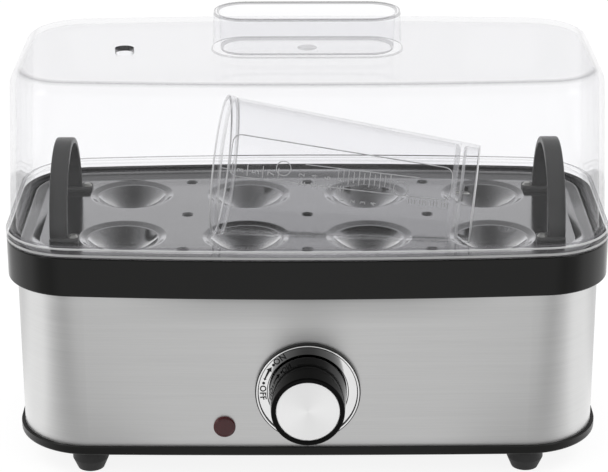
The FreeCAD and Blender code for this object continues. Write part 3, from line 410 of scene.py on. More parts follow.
def clear_plastic(name, haze, edge, edge_power, body, line, shade, shine):
    """Clear moulded plastic: lets light through, throws back the studio at a slant, and turns grey where it
    is seen edge on.

    The line mark on a vertex paints the grey line that refraction shows at a tight bend. The shade mark
    paints the dark that thick plastic shows of what stands behind it, and below nought a painted highlight
    for the white that it picks up from lamps."""
    finish = Finish(name)
    cool = haze * 1.004
    through = finish.out("ShaderNodeBsdfTransparent", {"Color": (haze, haze, cool, 1)})
    flow = finish.noise(finish.place(), scale=18.0, rough=0.4)
    bends = finish.mark("line")
    dark = finish.mark("shade")
    tint = finish.tones(flow, body, 0.94, 1.06)
    # Painted grey lines at the bends, standing in for refraction.
    tint = finish.blend(bends, tint, scaled(body, 0.55))
    # Painted shade above nought, and below nought a painted highlight.
    tint = finish.blend(dark, tint, (0.03, 0.03, 0.032))
    tint = finish.blend(dark * -1.0, tint, (0.95, 0.95, 0.95))
    solid = finish.principled(tint, 0.08 + flow * 0.04)
    gloss = finish.out("ShaderNodeBsdfGlossy", {"Color": WHITE, "Roughness": 0.03})
    grey = finish.facing() ** edge_power * edge + bends * line + dark.unsigned() * shade
    return finish.done(finish.mix(finish.thrown_back() * shine, finish.mix(grey, through, solid), gloss))


def moulded_lines(name, body, share):
    """Raised lines in clear plastic, which catch some light all over."""
    finish = Finish(name)
    through = finish.out("ShaderNodeBsdfTransparent", {"Color": WHITE})
    flow = finish.noise(finish.place(), scale=240.0)
    solid = finish.principled(finish.tones(flow, body, 0.85, 1.1), 0.12 + flow * 0.1)
    return finish.done(finish.mix(share * 0.7 + flow * (share * 0.6), through, solid))


def tray_metal(name, tint):
    """Pressed satin steel: faint brushing along the tray, a cloudy polish, and the painted shade and painted
    reflections that the shade mark says.
    """
    finish = Finish(name)
    fine = finish.noise(finish.place(stretch=(14, 1300, 1300)), rough=0.6)
    cloud = finish.noise(finish.place(), scale=34.0, detail=3.0)
    shade = finish.mark("shade")
    base = finish.tones(fine * 0.6 + cloud * 0.4, tint, 0.92, 1.07)
    # Painted shade where the mark is above nought, painted reflection toward white where it is below.
    base = finish.blend(shade, base, scaled(tint, 0.16))
    base = finish.blend(shade * -1.0, base, WHITE)
    rough = 0.13 + fine.swing(0.05) + cloud.swing(0.06)
    relief = finish.bump(fine, strength=0.02, distance=0.01 * MM)
    return finish.done(finish.principled(base, rough, Metallic=1.0, Normal=relief))


def spun_metal(name, tint, centre):
    """Disc turned on a lathe: fine rings round its centre, and painted highlights for the two bright fans
    that such rings throw.

    The rings are noise of the distance from the centre, and the fans a sine of twice the angle round it."""
    finish = Finish(name)
    place = finish.place(centre=centre)
    across = finish.axis(place, "X")
    upward = finish.axis(place, "Z")
    radius = (across * across + upward * upward).root()
    rings = finish.noise(finish.out("ShaderNodeCombineXYZ", {0: radius * FINE_RINGS}), rough=0.6)
    fans = (upward.angle(across) * 2.0 + 1.2).wave() * 0.5 + 0.5
    # Painted highlights: the fans lighten the disc's colour.
    base = finish.tones(fans * 0.6 + rings * 0.4, tint, 0.9, 1.05)
    relief = finish.bump(rings, strength=0.08, distance=0.02 * MM)
    return finish.done(finish.principled(base, 0.28 + rings * 0.14, Metallic=0.75, Normal=relief))


def lens_plastic(name, tint):
    """Red lens: dark in its middle, lighter and pinker where its edge gathers light, over fine ribs."""
    finish = Finish(name)
    slant = finish.facing(0.45)
    ribs = (finish.axis(finish.place(), "X") * FINE_RINGS).wave()
    base = finish.blend(slant ** 2.0, tint, scaled(tint, 3.2))
    relief = finish.bump(ribs, strength=0.25, distance=0.08 * MM)
    surface = finish.principled(base, 0.20 + slant * 0.1, Normal=relief, Coat_Weight=0.2,
                                Specular_IOR_Level=0.35)
    return finish.done(surface)


def make_finishes(tints):
    """Every finish by its slot's name, or by a name of its own where a new piece departs from its slot."""
    black = tuple(tints.black)
    handle = tuple(tints.handle)
    polished = scaled(black, 0.25)
    return {
        "brushed_steel": brushed_metal("brushed steel", tuple(tints.steel), (26, 26, 2100),
                                       roughness=0.33, spread=0.06),
        "tray_steel": tray_metal("tray steel", tuple(tints.tray)),
        "pan_steel": plain_metal("pan steel", (0.55, 0.55, 0.55), 0.28),
        "zinc_steel": plain_metal("zinc plated steel", (0.58, 0.58, 0.56), 0.32),
        "heater_steel": plain_metal("heat darkened steel", (0.22, 0.20, 0.18), 0.42),
        "chrome_ring": plain_metal("bright dial ring", (0.78, 0.78, 0.78), 0.08, grain=300.0),
        "spun_aluminium": spun_metal("spun aluminium", tuple(tints.disc), tuple(DIAL_CENTRE)),
        "black_gloss": moulded_plastic("gloss black moulding", black, 0.13,
                                       grain=0.015, size=500.0, level=0.21),
        "black_satin": moulded_plastic("satin black moulding", black, 0.36,
                                       grain=0.04, size=1400.0, level=0.2),
        "handle_grey": moulded_plastic("handle moulding", handle, 0.36,
                                       grain=0.0, size=1400.0, level=0.275),
        "knob_gloss": moulded_plastic("polished black moulding", polished, 0.10,
                                      grain=0.0, size=500.0, level=0.07),
        # The clear finishes' line and shade settings weigh their painted lines, painted shade and painted
        # highlights.
        "clear_lid": clear_plastic("clear lid", haze=0.986, edge=0.42, edge_power=7.0,
                                   body=(0.48, 0.47, 0.50), line=0.52, shade=0.66, shine=0.40),
        "clear_beaker": clear_plastic("clear beaker", haze=0.992, edge=0.11, edge_power=5.0,
                                      body=(0.70, 0.70, 0.72), line=0.55, shade=0.72, shine=0.45),
        "vent_wall": clear_plastic("vent wall", haze=0.99, edge=0.0, edge_power=5.0,
                                   body=(0.46, 0.45, 0.48), line=0.0, shade=0.9, shine=0.35),
        "moulded_scale": moulded_lines("moulded scale", (0.80, 0.80, 0.81), 0.60),
        "dial_ink": speckled("dial ink", (0.006, 0.006, 0.006), 0.6, size=1800.0),
        "red_lens": lens_plastic("red lens", tuple(tints.lens)),
        "black_rubber": speckled("black rubber", (0.022, 0.022, 0.022), 0.62),
        "grey_silicone": speckled("grey silicone", (0.36, 0.36, 0.36), 0.6),
        "phenolic": speckled("brown phenolic", (0.07, 0.045, 0.03), 0.5),
        "ceramic_white": speckled("white ceramic", (0.78, 0.77, 0.72), 0.45),
        "brass_screw": plain_metal("brass", (0.72, 0.52, 0.22), 0.26),
        "wire_brown": speckled("brown sleeve", (0.13, 0.055, 0.025), 0.55, size=700.0),
        "wire_blue": speckled("blue sleeve", (0.03, 0.10, 0.32), 0.55, size=700.0),
    }


def outline(plan):
    """Closed outline of a plan, counter-clockwise, and its outward directions.

    Each corner is an arc, the front and back are long arcs that touch the corners, and the sides are
    straight. The second half is the first half turned by half a turn."""
    half_width, half_depth, corner, bow = plan
    corner_x = half_width - corner
    bow_y = half_depth - bow
    corner_y = bow_y + math.sqrt((bow - corner) ** 2 - corner_x ** 2)
    sweep = math.atan2(corner_y - bow_y, corner_x)
    turn = np.linspace(0, sweep, CORNER_STEPS + 1)
    corner_out = np.stack([np.cos(turn), np.sin(turn)], 1)
    right = corner_out * corner + (corner_x, corner_y)
    turn = np.linspace(sweep, math.pi - sweep, BOW_STEPS + 1)[1:-1]
    back_out = np.stack([np.cos(turn), np.sin(turn)], 1)
    back = back_out * bow + (0, bow_y)
    left_out = corner_out[::-1] * (-1, 1)
    left = right[::-1] * (-1, 1)
    side_y = np.linspace(corner_y, -corner_y, SIDE_STEPS + 1)[1:-1]
    side = np.stack([np.full_like(side_y, -half_width), side_y], 1)
    side_out = np.tile((-1.0, 0.0), (len(side_y), 1))
    points = np.concatenate([right, back, left, side])
    out = np.concatenate([corner_out, back_out, left_out, side_out])
    return np.concatenate([points, -points]), np.concatenate([out, -out])


def rectangle(width, height):
    """Corners of a rectangle centred on nought."""
    half_width = width / 2
    half_height = height / 2
    return [(-half_width, -half_height), (half_width, -half_height), (half_width, half_height),
            (-half_width, half_height)]


def evenly(points, reach):
    """Corners of a section that all have the same rounding."""
    return [(*point, reach) for point in points]


def soften(corners, steps=SOFT_STEPS, closed=False):
    """Section whose corners, each given as a point and a rounding, are replaced by curves.

    A curve starts and ends as far from its corner as the rounding says, but never over a set share of a
    side. It is a parabola held by the corner, with one more point just before it and after it, so that
    the flats beside it stay flat."""
    corners = np.array(corners, float)
    points = corners[:, :2]
    inner = slice(None) if closed else slice(1, -1)
    middle = points[inner]
    before = np.roll(points, 1, 0)[inner] - middle
    after = np.roll(points, -1, 0)[inner] - middle
    size_before = np.linalg.norm(before, axis=1)
    size_after = np.linalg.norm(after, axis=1)
    back = np.minimum(corners[inner, 2], SIDE_SHARE * np.minimum(size_before, size_after))[:, None]
    start = before / size_before[:, None] * back
    end = after / size_after[:, None] * back
    share = np.linspace(0, 1, steps + 1)[None, :, None]
    curve = middle[:, None] + (1 - share) ** 2 * start[:, None] + share ** 2 * end[:, None]
    guard_before = (middle + start * GUARD)[:, None]
    guard_after = (middle + end * GUARD)[:, None]
    rounded = np.concatenate([guard_before, curve, guard_after], 1).reshape(-1, 2)
    if closed:
        return rounded
    return np.concatenate([points[:1], rounded, points[-1:]])


def bend_marks(marks, steps=SOFT_STEPS):
    """Marks of an open softened section: a corner's mark over its whole curve, and nought beside it."""
    inner = np.array(marks, float)[1:-1, None]
    over = np.concatenate([[0.0], np.ones(steps + 1), [0.0]])[None]
    return np.concatenate([[marks[0]], (inner * over).ravel(), [marks[-1]]])


def wall_rows(plan, section):
    """Rows of points round a plan: each section point moves the outline outwards by its first number, at
    the height of its second."""
    points, out = outline(plan)
    section = np.array(section, float)
    flat = points[None] + out[None] * section[:, :1, None]
    height = np.broadcast_to(section[:, 1][:, None, None], (len(section), len(points), 1))
    rows = np.concatenate([flat, height], 2)
    rows[:, :, 1] += MIDDLE_Y
    return rows


def turned_rows(section, base, axis, steps, aside):
    """Rows of points turned about an axis: radius times a circle, plus height along the axis."""
    axis = Vector(axis).normalized()
    first = Vector(aside) if aside else axis.orthogonal()
    first = (first - axis * first.dot(axis)).normalized()
    second = axis.cross(first)
    turn = np.linspace(0, 2 * math.pi, steps, endpoint=False)
    circle = np.outer(np.cos(turn), first) + np.outer(np.sin(turn), second)
    section = np.array(section, float)
    along = np.outer(section[:, 1], axis)[:, None]
    return np.array(base) + along + circle[None] * section[:, 0][:, None, None]


def swept_rows(path, side, across, section):
    """Rows of points along a path: the section laid out on each point's side and across directions."""
    section = np.array(section, float)
    return path[:, None] + section[None, :, :1] * side[:, None] + section[None, :, 1:] * across[:, None]


def skin(rows, wrap=False, start=None, end=None):
    """Vertices and faces of rows of points that close round each row.

    Neighbouring points make quads. With wrap the last row joins the first. A start or end point closes
    that end with triangles. The faces are turned outwards by the sign of the volume they close."""
    count, width = rows.shape[:2]
    points = rows.reshape(-1, 3)
    row = np.arange(count if wrap else count - 1)[:, None]
    column = np.arange(width)[None]
    following = (row + 1) % count
    beside = (column + 1) % width
    here = row * width
    ahead = following * width
    corners = [here + column, here + beside, ahead + beside, ahead + column]
    faces = [np.stack(corners, 2).reshape(-1, 4)]
    ring = np.arange(width)
    onward = np.roll(ring, -1)
    if start is not None:
        points = np.concatenate([points, [start]])
        middle = np.full(width, len(points) - 1)
        faces.append(np.stack([onward, ring, middle], 1))
    if end is not None:
        points = np.concatenate([points, [end]])
        middle = np.full(width, len(points) - 1)
        last = (count - 1) * width
        faces.append(np.stack([last + ring, last + onward, middle], 1))
    if enclosed(points, faces) < 0:
        faces = [group[:, ::-1] for group in faces]
    return points, faces


def enclosed(points, faces):
    """Six times the volume inside faces: the sum of the triple products of each face's triangles."""
    total = 0.0
    for group in faces:
        a, b, c = (points[group[:, k]] for k in range(3))
        total += np.einsum("ij,ij->i", a, np.cross(b, c)).sum()
        if group.shape[1] == 4:
            d = points[group[:, 3]]
            total += np.einsum("ij,ij->i", a, np.cross(c, d)).sum()
    return total


def lathe(section, base, axis, steps, aside=None):
    """Skin turned about an axis, closed where its section starts or ends on the axis, else wrapped round."""
    section = np.array(section, float)
    base = np.array(base, float)
    direction = np.array(Vector(axis).normalized())
    poles = [base + direction * section[k, 1] if section[k, 0] == 0 else None for k in (0, -1)]
    inner = slice(1 if poles[0] is not None else 0, -1 if poles[1] is not None else None)
    rows = turned_rows(section[inner], base, axis, steps, aside)
    return skin(rows, poles[0] is None and poles[1] is None, *poles)


def smoothed(mesh):
    """The mesh, smooth but for its sharp edges."""
    mesh.shade_smooth()
    mesh.set_sharp_from_angle(angle=SHARP_ANGLE)
    return mesh


def mesh_of(name, skins):
    """One mesh of several skins."""
    points = []
    faces = []
    shift = 0
    for skin_points, skin_faces in skins:
        points.append(skin_points)
        for group in skin_faces:
            faces.extend((group + shift).tolist())
        shift += len(skin_points)
    mesh = bpy.data.meshes.new(name)
    mesh.from_pydata(np.concatenate(points).tolist(), [], faces)
    return smoothed(mesh)


def carry(mesh, name, values):
    """Gives the first vertices their marks in order. The vertices after them are poles and get nought."""
    marks = np.zeros(len(mesh.vertices), np.float32)
    marks[:values.size] = values.ravel()
    mesh.attributes.new(name, "FLOAT", "POINT").data.foreach_set("value", marks)


def places(mesh):
    """Places of a mesh's vertices as an array."""
    flat = np.empty(len(mesh.vertices) * 3)
    mesh.vertices.foreach_get("co", flat)
    return flat.reshape(-1, 3)


def put(mesh, body, slot, replaces=(), finish=None):
    """Puts a mesh in the scene as a piece that rides on a body, with its slot's finish or another."""
    piece = bpy.data.objects.new(mesh.name, mesh)
    bpy.context.scene.collection.objects.link(piece)
    mesh.materials.clear()
    mesh.materials.append(FINISHES[finish or slot])
    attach(piece, body)
    if replaces:
        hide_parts(*replaces)


def worked_out(item):
    """New mesh of an object with its modifiers or curve settings worked out."""
    view = bpy.context.evaluated_depsgraph_get()
    return bpy.data.meshes.new_from_object(item.evaluated_get(view))


def bored(mesh, centre, radius, half):
    """Mesh with an upright round hole: a rod of a given size is cut from it with an exact Boolean."""
    rod = lathe([(0, -half), (radius, -half), (radius, half), (0, half)], centre, UP, 40)
    target = bpy.data.objects.new("bored", mesh)
    tool = bpy.data.objects.new("drill", mesh_of("drill", [rod]))
    for item in (target, tool):
        bpy.context.scene.collection.objects.link(item)
    cut = target.modifiers.new("bore", "BOOLEAN")
    cut.operation = "DIFFERENCE"
    cut.solver = "EXACT"
    cut.object = tool
    made = worked_out(target)
    for item in (target, tool):
        bpy.data.objects.remove(item)
    name = mesh.name
    bpy.data.meshes.remove(mesh)
    made.name = name
    return smoothed(made)


def flat_shape(curve):
    """Vertices and faces of a flat curve or text, filled by Blender and given its thickness."""
    holder = bpy.data.objects.new("flat", curve)
    bpy.context.scene.collection.objects.link(holder)
    mesh = worked_out(holder)
    points = places(mesh)
    faces = [tuple(p.vertices) for p in mesh.polygons]
    groups = [np.array([f for f in faces if len(f) == n]) for n in (3, 4)]
    bpy.data.objects.remove(holder)
    bpy.data.curves.remove(curve)
    bpy.data.meshes.remove(mesh)
    return points, [g for g in groups if len(g)]


def flat_outline(loops, thickness):
    """Flat plate between closed outlines, the later ones being holes, with its top at nought."""
    curve = bpy.data.curves.new("plate", "CURVE")
    curve.dimensions = "2D"
    curve.fill_mode = "BOTH"
    curve.extrude = thickness / 2
    for loop in loops:
        spline = curve.splines.new("POLY")
        spline.points.add(len(loop) - 1)
        flat = np.concatenate([loop, np.zeros((len(loop), 1)), np.ones((len(loop), 1))], 1)
        spline.points.foreach_set("co", flat.ravel())
        spline.use_cyclic_u = True
    points, faces = flat_shape(curve)
    points[:, 2] -= thickness / 2
    return points, faces


def lettering(words, height, thickness, bold=0.0):
    """Letters as a flat solid centred on nought, with a capital's height given, fattened by a length."""
    text = bpy.data.curves.new("letters", "FONT")
    text.body = words
    text.align_x = "CENTER"
    text.align_y = "CENTER"
    text.size = height / CAPITAL_SHARE
    text.resolution_u = 4
    text.extrude = thickness / 2
    text.offset = bold
    text.space_character = 1.08
    return flat_shape(text)


def circle(centre, radius, steps):
    """Points round a circle in plan."""
    turn = np.linspace(0, 2 * math.pi, steps, endpoint=False)
    return np.stack([np.cos(turn), np.sin(turn)], 1) * radius + centre


def bar(length, width, height):
    """Flat bar centred on nought, finely divided along its length so that it can be bent."""
    along = np.linspace(-length / 2, length / 2, max(2, int(length / BEND_STEP) + 2))
    path = np.stack([along, np.zeros_like(along), np.zeros_like(along)], 1)
    side = np.tile((0.0, 1.0, 0.0), (len(along), 1))
    across = np.tile((0.0, 0.0, 1.0), (len(along), 1))
    return skin(swept_rows(path, side, across, rectangle(width, height)), False, path[0], path[-1])


def loop_bar(points, width, height):
    """Flat ring of one width that follows a closed line in a plane."""
    line = np.array(points, float)
    ahead = np.roll(line, -1, 0) - np.roll(line, 1, 0)
    ahead /= np.linalg.norm(ahead, axis=1)[:, None]
    side = np.stack([-ahead[:, 1], ahead[:, 0], np.zeros(len(line))], 1)
    path = np.concatenate([line, np.zeros((len(line), 1))], 1)
    across = np.tile((0.0, 0.0, 1.0), (len(line), 1))
    return skin(swept_rows(path, side, across, rectangle(width, height)), True)


def moved(shape, x=0.0, y=0.0, turn=0.0):
    """Shape turned in its plane and then shifted."""
    points, faces = shape
    c, s = math.cos(turn), math.sin(turn)
    spun = points @ np.array([(c, s, 0), (-s, c, 0), (0, 0, 1)])
    return spun + (x, y, 0), faces


def lid_mesh(sizes):
    """The lid as one closed skin, from the middle of its top out over the grip, down the wall, round the
    flange and back up inside.

    Each row of a section is a corner's place outwards, its height, its rounding, its line mark and its shade
    mark. The line marks paint grey lines that stand in for refraction at the bends; the shade marks paint
    shade, and below nought highlights, on the flange and its lip. The marks are strongest on the front, and
    a painted grey line follows the crease between wall and top."""
    low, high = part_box("lid_shell")
    top = high.z - sizes.grip_height
    roof = top - sizes.sheet
    flange = RIM_TOP + 4.2 * MM
    wall = sizes.grip_wall
    grip = np.array([
        (-8 * MM, top, 0, 0, 0),
        (-wall - 0.5 * MM, top, 1.1 * MM, 0.8, 0),
        (-wall, high.z, 0.8 * MM, 0.9, 0),
        (0, high.z, 0.8 * MM, 0.9, 0),
        (0.5 * MM, top, 1.2 * MM, 0.7, 0),
        (1.9 * MM, top, 0, 0, 0),
    ])
    # The line and shade columns are painted: grey lines for refraction, shade and, below nought, highlights.
    shell = np.array([
        (-24 * MM, top, 0, 0, 0),
        (-4.8 * MM, top, sizes.edge, 0, 0),
        (-1.8 * MM, flange, 0.5 * MM, 0.5, 0.25),
        (0.2 * MM, flange, 0.7 * MM, 0.5, -0.75),
        (0.2 * MM, RIM_TOP + 2.7 * MM, 0.5 * MM, 0, 0.45),
        (0.2 * MM, RIM_TOP + 1.2 * MM, 0.5 * MM, 0, -1.0),
        (0.2 * MM, RIM_TOP, 0.4 * MM, 0, 0.5),
        (-2.8 * MM, RIM_TOP, 0.3 * MM, 0.2, 0.5),
        (-2.8 * MM, low.z, 0.4 * MM, 0.2, 0.8),
        (-4.4 * MM, low.z, 0.4 * MM, 0.2, 0.8),
        (-4.4 * MM, flange, 0.1 * MM, 0.4, 0.4),
        (-4.0 * MM, flange, 0.1 * MM, 0.2, 0),
        (-7.0 * MM, roof, sizes.edge - sizes.sheet, 0, 0),
        (-24 * MM, roof, 0, 0, 0),
    ])
    parts = [(GRIP_PLAN, grip, SOFT_STEPS), (RIM_PLAN, shell, SHELL_STEPS)]
    rows = np.concatenate([wall_rows(plan, soften(table[:, :3], steps)) for plan, table, steps in parts])
    lines = np.concatenate([bend_marks(table[:, 3], steps) for _, table, steps in parts])
    shades = np.concatenate([bend_marks(table[:, 4], steps) for _, table, steps in parts])
    # The painted marks are strongest on the front and fade towards the back.
    front = np.clip(0.5 - 1.3 * outline(RIM_PLAN)[1][:, 1], 0.2, 1)
    lines = np.repeat(lines[:, None], rows.shape[1], 1)
    crease = len(soften(grip[:, :3])) + 4
    # A painted grey line along the crease between wall and top.
    lines[crease - 1:crease + 2] = np.outer((0.45, 1.0, 0.3), front)
    mesh = mesh_of("clear_lid", [skin(rows, False, (0, MIDDLE_Y, top), (0, MIDDLE_Y, roof))])
    carry(mesh, "line", lines)
    carry(mesh, "shade", np.outer(shades, front))
    return mesh


def gate_mark(radius, z):
    """Low round mark that the moulding gate leaves on the grip's floor."""
    profile = [(0, 0.25 * MM), (radius * 0.55, 0.25 * MM), (radius * 0.7, 0.05 * MM),
               (radius * 0.85, 0.35 * MM), (radius, 0.0), (0, -0.2 * MM)]
    return lathe(soften(evenly(profile, 0.25 * MM), 3), (0, MIDDLE_Y, z), UP, 48)


def cup_skin(x, y, sizes):
    """One cup: a soft step down from the field, a narrow ledge, and a bowl that is part of a ball."""
    bowl = sizes.cup - 3.2 * MM
    ledge = FIELD_TOP - 1.2 * MM
    depth = 6.2 * MM
    ball = (bowl ** 2 + depth ** 2) / (2 * depth)
    radius = np.linspace(0, bowl * 0.97, 12)
    height = ledge - depth + ball - np.sqrt(ball ** 2 - radius ** 2)
    shoulder = soften([
        (radius[-1], height[-1], 0),
        (bowl, ledge, 0.5 * MM),
        (bowl + 0.8 * MM, ledge, 0.5 * MM),
        (sizes.cup, FIELD_TOP, 0.7 * MM),
        (sizes.cup + CUP_MARGIN, FIELD_TOP, 0),
    ], 4)
    upper = np.concatenate([np.stack([radius, height], 1), shoulder[1:]])
    lower = upper[::-1] - (0, sizes.sheet)
    return lathe(np.concatenate([upper, lower]), (x, y, 0), UP, 64)


def tray_skins(sizes):
    """The tray: a rolled border, a flat field with its holes, eight cups and the sunk steam holes."""
    border_top = FIELD_TOP + 1.5 * MM
    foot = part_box("heating_pan")[1].z
    gauge = sizes.sheet
    edge = -13.8 * MM
    join = edge - 0.8 * MM
    border = soften([
        (-5.4 * MM, foot, 0.1 * MM),
        (-5.4 * MM, border_top, 1.3 * MM),
        (-10.0 * MM, border_top, 0.9 * MM),
        (edge, FIELD_TOP, 0.9 * MM),
        (join, FIELD_TOP, 0),
        (join, FIELD_TOP - gauge, 0),
        (edge + 0.3 * MM, FIELD_TOP - gauge, 0.5 * MM),
        (-9.7 * MM, border_top - gauge, 0.5 * MM),
        (-6.2 * MM, border_top - gauge, 0.6 * MM),
        (-6.2 * MM, foot, 0.1 * MM),
    ], closed=True)
    skins = [skin(wall_rows(RIM_PLAN, border), True)]
    columns = (np.arange(4) - 1.5) * sizes.pitch
    cups = [(x, side * sizes.pitch / 2) for side in (-1, 1) for x in columns]
    steam = [(column * sizes.pitch, y) for column in (-1, 0, 1) for y in (-STEAM_ROW, 0, STEAM_ROW)]
    rivets = [(x, y) for x in (-97.075 * MM, 97.075 * MM) for y in (-31.8 * MM, 31.8 * MM)]
    points, out = outline(RIM_PLAN)
    sink = sizes.steam + 1.5 * MM
    loops = [points + out * join]
    loops += [circle(c, sizes.cup + CUP_MARGIN, 64) for c in cups]
    loops += [circle(c, sink, 32) for c in steam]
    loops += [circle(c, 1.3 * MM, 24) for c in rivets]
    field_points, field_faces = flat_outline(loops, gauge)
    skins.append((field_points + (0, MIDDLE_Y, FIELD_TOP), field_faces))
    skins += [cup_skin(x, y + MIDDLE_Y, sizes) for x, y in cups]
    hole = soften([
        (sizes.steam, -2.2 * gauge, 0),
        (sizes.steam, -1.5 * gauge, 0.25 * MM),
        (sizes.steam + 1.1 * MM, 0, 0.3 * MM),
        (sink, 0, 0),
        (sink, -gauge, 0),
        (sizes.steam + 0.9 * MM, -2.2 * gauge, 0),
    ], 3, True)
    skins += [lathe(hole, (x, y + MIDDLE_Y, FIELD_TOP), UP, 32) for x, y in steam]
    return skins


def rising(values, start, width):
    """Nought up to the start, one from a width past it, and a straight line between."""
    return np.clip((values - start) / width, 0, 1)


def bell(values, middle, width):
    """One at the middle, falling off to both sides like a bell."""
    return np.exp(-((values - middle) / width) ** 2)


def painted_tray_shade_and_reflections(points, sizes):
    """Painted shade and painted reflections on the tray: how dark or, below nought, how pale the steel is
    painted, for the shade in its hollows and the reflections of what stands round it: the border away from
    its middle, the step inside it, the steam funnels, and in each cup a dark back, a pale patch at either
    side and a dark ring at its ledge.

    Places in a cup are shares of its radius."""
    x = points[:, 0]
    y = points[:, 1] - MIDDLE_Y
    rise = points[:, 2] - FIELD_TOP
    in_bowl = rise < -1.3 * MM
    on_ledge = (rise < -0.1 * MM) * (rise > -1.3 * MM)
    border = rising(rise, 1.0 * MM, 0.4 * MM) * rising(np.abs(x), 12 * MM, 34 * MM)
    border = border * np.where(y > 0, 0.82, 0.45)
    slope = np.clip(1 - np.abs(rise - 0.5 * MM) / (0.45 * MM), 0, 1) * 0.6
    hole_x = x - np.clip(np.round(x / sizes.pitch), -1, 1) * sizes.pitch
    hole_y = np.abs(y) - np.where(np.abs(y) > STEAM_ROW / 2, STEAM_ROW, 0)
    funnel = (np.hypot(hole_x, hole_y) < sizes.steam + 1.6 * MM) * rising(-rise, 0.02 * MM, 0.3 * MM)
    cup_x = np.abs((np.mod(x, sizes.pitch) - sizes.pitch / 2) / sizes.cup)
    cup_y = (np.abs(y) - sizes.pitch / 2) * np.sign(y) / sizes.cup
    from_middle = np.hypot(cup_x, cup_y)
    back = np.clip(cup_y * 1.5 + 0.75, 0, 1) * np.clip(1.2 - cup_x * 2.2, 0, 1) * 0.72
    patch = bell(cup_x, 0.52, 0.17) * bell(cup_y, -0.02, 0.28)
    bowl = (from_middle < 0.86) * in_bowl * (back - patch * 1.6)
    ring = bell(from_middle, 0.93, 0.05) * on_ledge
    return np.clip(border + slope + funnel * 0.9 + bowl + ring * 0.5, -1, 1)


def handle_skins(side, sizes):
    """A handle: a rounded strap bent to a half circle, and a rounded pad at each foot."""
    low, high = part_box("tray_handle_left" if side < 0 else "tray_handle_right")
    outside, inside = (low.x, high.x) if side < 0 else (high.x, low.x)
    gauge = 2.8 * MM
    x = outside - side * sizes.strap / 2
    radius = high.z - FIELD_TOP - gauge / 2
    section = soften(evenly(rectangle(sizes.strap, gauge), sizes.strap_edge), closed=True)
    turn = np.linspace(0, math.pi, 49)
    outward = np.stack([np.zeros_like(turn), np.cos(turn), np.sin(turn)], 1)
    path = outward * radius + (x, MIDDLE_Y, FIELD_TOP)
    sideways = np.tile((1.0, 0.0, 0.0), (len(turn), 1))
    skins = [skin(swept_rows(path, sideways, outward, section), False, path[0], path[-1])]
    middle = (outside + inside) / 2
    pad_plan = (abs(outside - inside) / 2, 4.3 * MM, 2.0 * MM, 400 * MM)
    pad_top = FIELD_TOP + 2.0 * MM
    pad_inner = -1.9 * MM
    pad = soften([
        (pad_inner, FIELD_TOP, 0),
        (0, FIELD_TOP, 0.2 * MM),
        (0, pad_top, 0.6 * MM),
        (pad_inner, pad_top, 0),
    ])
    for foot in (-radius, radius):
        ends = [(middle, MIDDLE_Y + foot, z) for z in (FIELD_TOP, pad_top)]
        skins.append(skin(wall_rows(pad_plan, pad) + (middle, foot, 0), False, *ends))
    return skins


def beaker_frame():
    """Mouth of the lying beaker, its axis, the direction towards its near side, and the one across."""
    mouth = Vector((-36.07 * MM, MIDDLE_Y - 21.07 * MM, 126.69 * MM))
    axis = Vector((0.99080, -0.10414, -0.08647)).normalized()
    above = math.radians(21)
    near = Vector((0, -math.cos(above), math.sin(above)))
    near = (near - axis * near.dot(axis)).normalized()
    return mouth, axis, near, axis.cross(near)


def beaker_mesh(sizes):
    """The beaker turned about its own axis: a beaded mouth, a tapered wall, a floor set in from the base,
    and the pin's boss.

    Each row of the section is a corner's radius, place along the axis, rounding and shade mark; the shade
    marks are below nought and paint pale highlights on the mouth, the bends and the base."""
    mouth, axis, near, _ = beaker_frame()
    wall = sizes.wall
    length = sizes.length
    slope = (sizes.mouth - sizes.base) / length
    floor = length - 8 * MM
    under = floor + wall
    outer = sizes.mouth - slope * floor
    section = np.array([
        (0, floor, 0, 0),
        (outer - wall, floor, 2.0 * MM, -0.35),
        (sizes.mouth - slope * 3 * MM - wall, 3 * MM, 0.6 * MM, -0.3),
        (sizes.mouth - 1.6 * MM, 0, 0.6 * MM, -0.9),
        (sizes.mouth, 0, 0.6 * MM, -0.9),
        (sizes.mouth - slope * 2.6 * MM, 2.6 * MM, 0.5 * MM, -0.2),
        (sizes.mouth - slope * 4 * MM - 0.25 * MM, 3.4 * MM, 0.5 * MM, -0.8),
        (outer, floor, 0.2 * MM, -0.1),
        (sizes.base, length, 0.6 * MM, -1.0),
        (sizes.base - wall, length, 0.6 * MM, -1.0),
        (outer - wall - 0.2 * MM, under, 1.2 * MM, -0.5),
        (4.0 * MM, under, 0.6 * MM, -0.4),
        (3.6 * MM, under + 2 * MM, 0.5 * MM, -0.4),
        (0, under + 2 * MM, 0, 0),
    ])
    mesh = mesh_of("clear_beaker", [lathe(soften(section[:, :3]), mouth, axis, BEAKER_STEPS, near)])
    # Painted highlights along the beaker's bends.
    carry(mesh, "shade", np.repeat(bend_marks(section[:, 3])[1:-1], BEAKER_STEPS))
    return mesh


def wrap_on_beaker(shape, sizes):
    """Bends a flat shape onto the beaker: its first number goes along from the mouth, its second round."""
    mouth, axis, near, across = beaker_frame()
    points, faces = shape
    slope = (sizes.mouth - sizes.base) / sizes.length
    radius = sizes.mouth - slope * points[:, 0]
    turn = points[:, 1] / radius
    lift = radius + points[:, 2]
    out = np.outer(np.cos(turn), near) + np.outer(np.sin(turn), -np.array(across))
    return np.array(mouth) + np.outer(points[:, 0], axis) + out * lift[:, None], faces


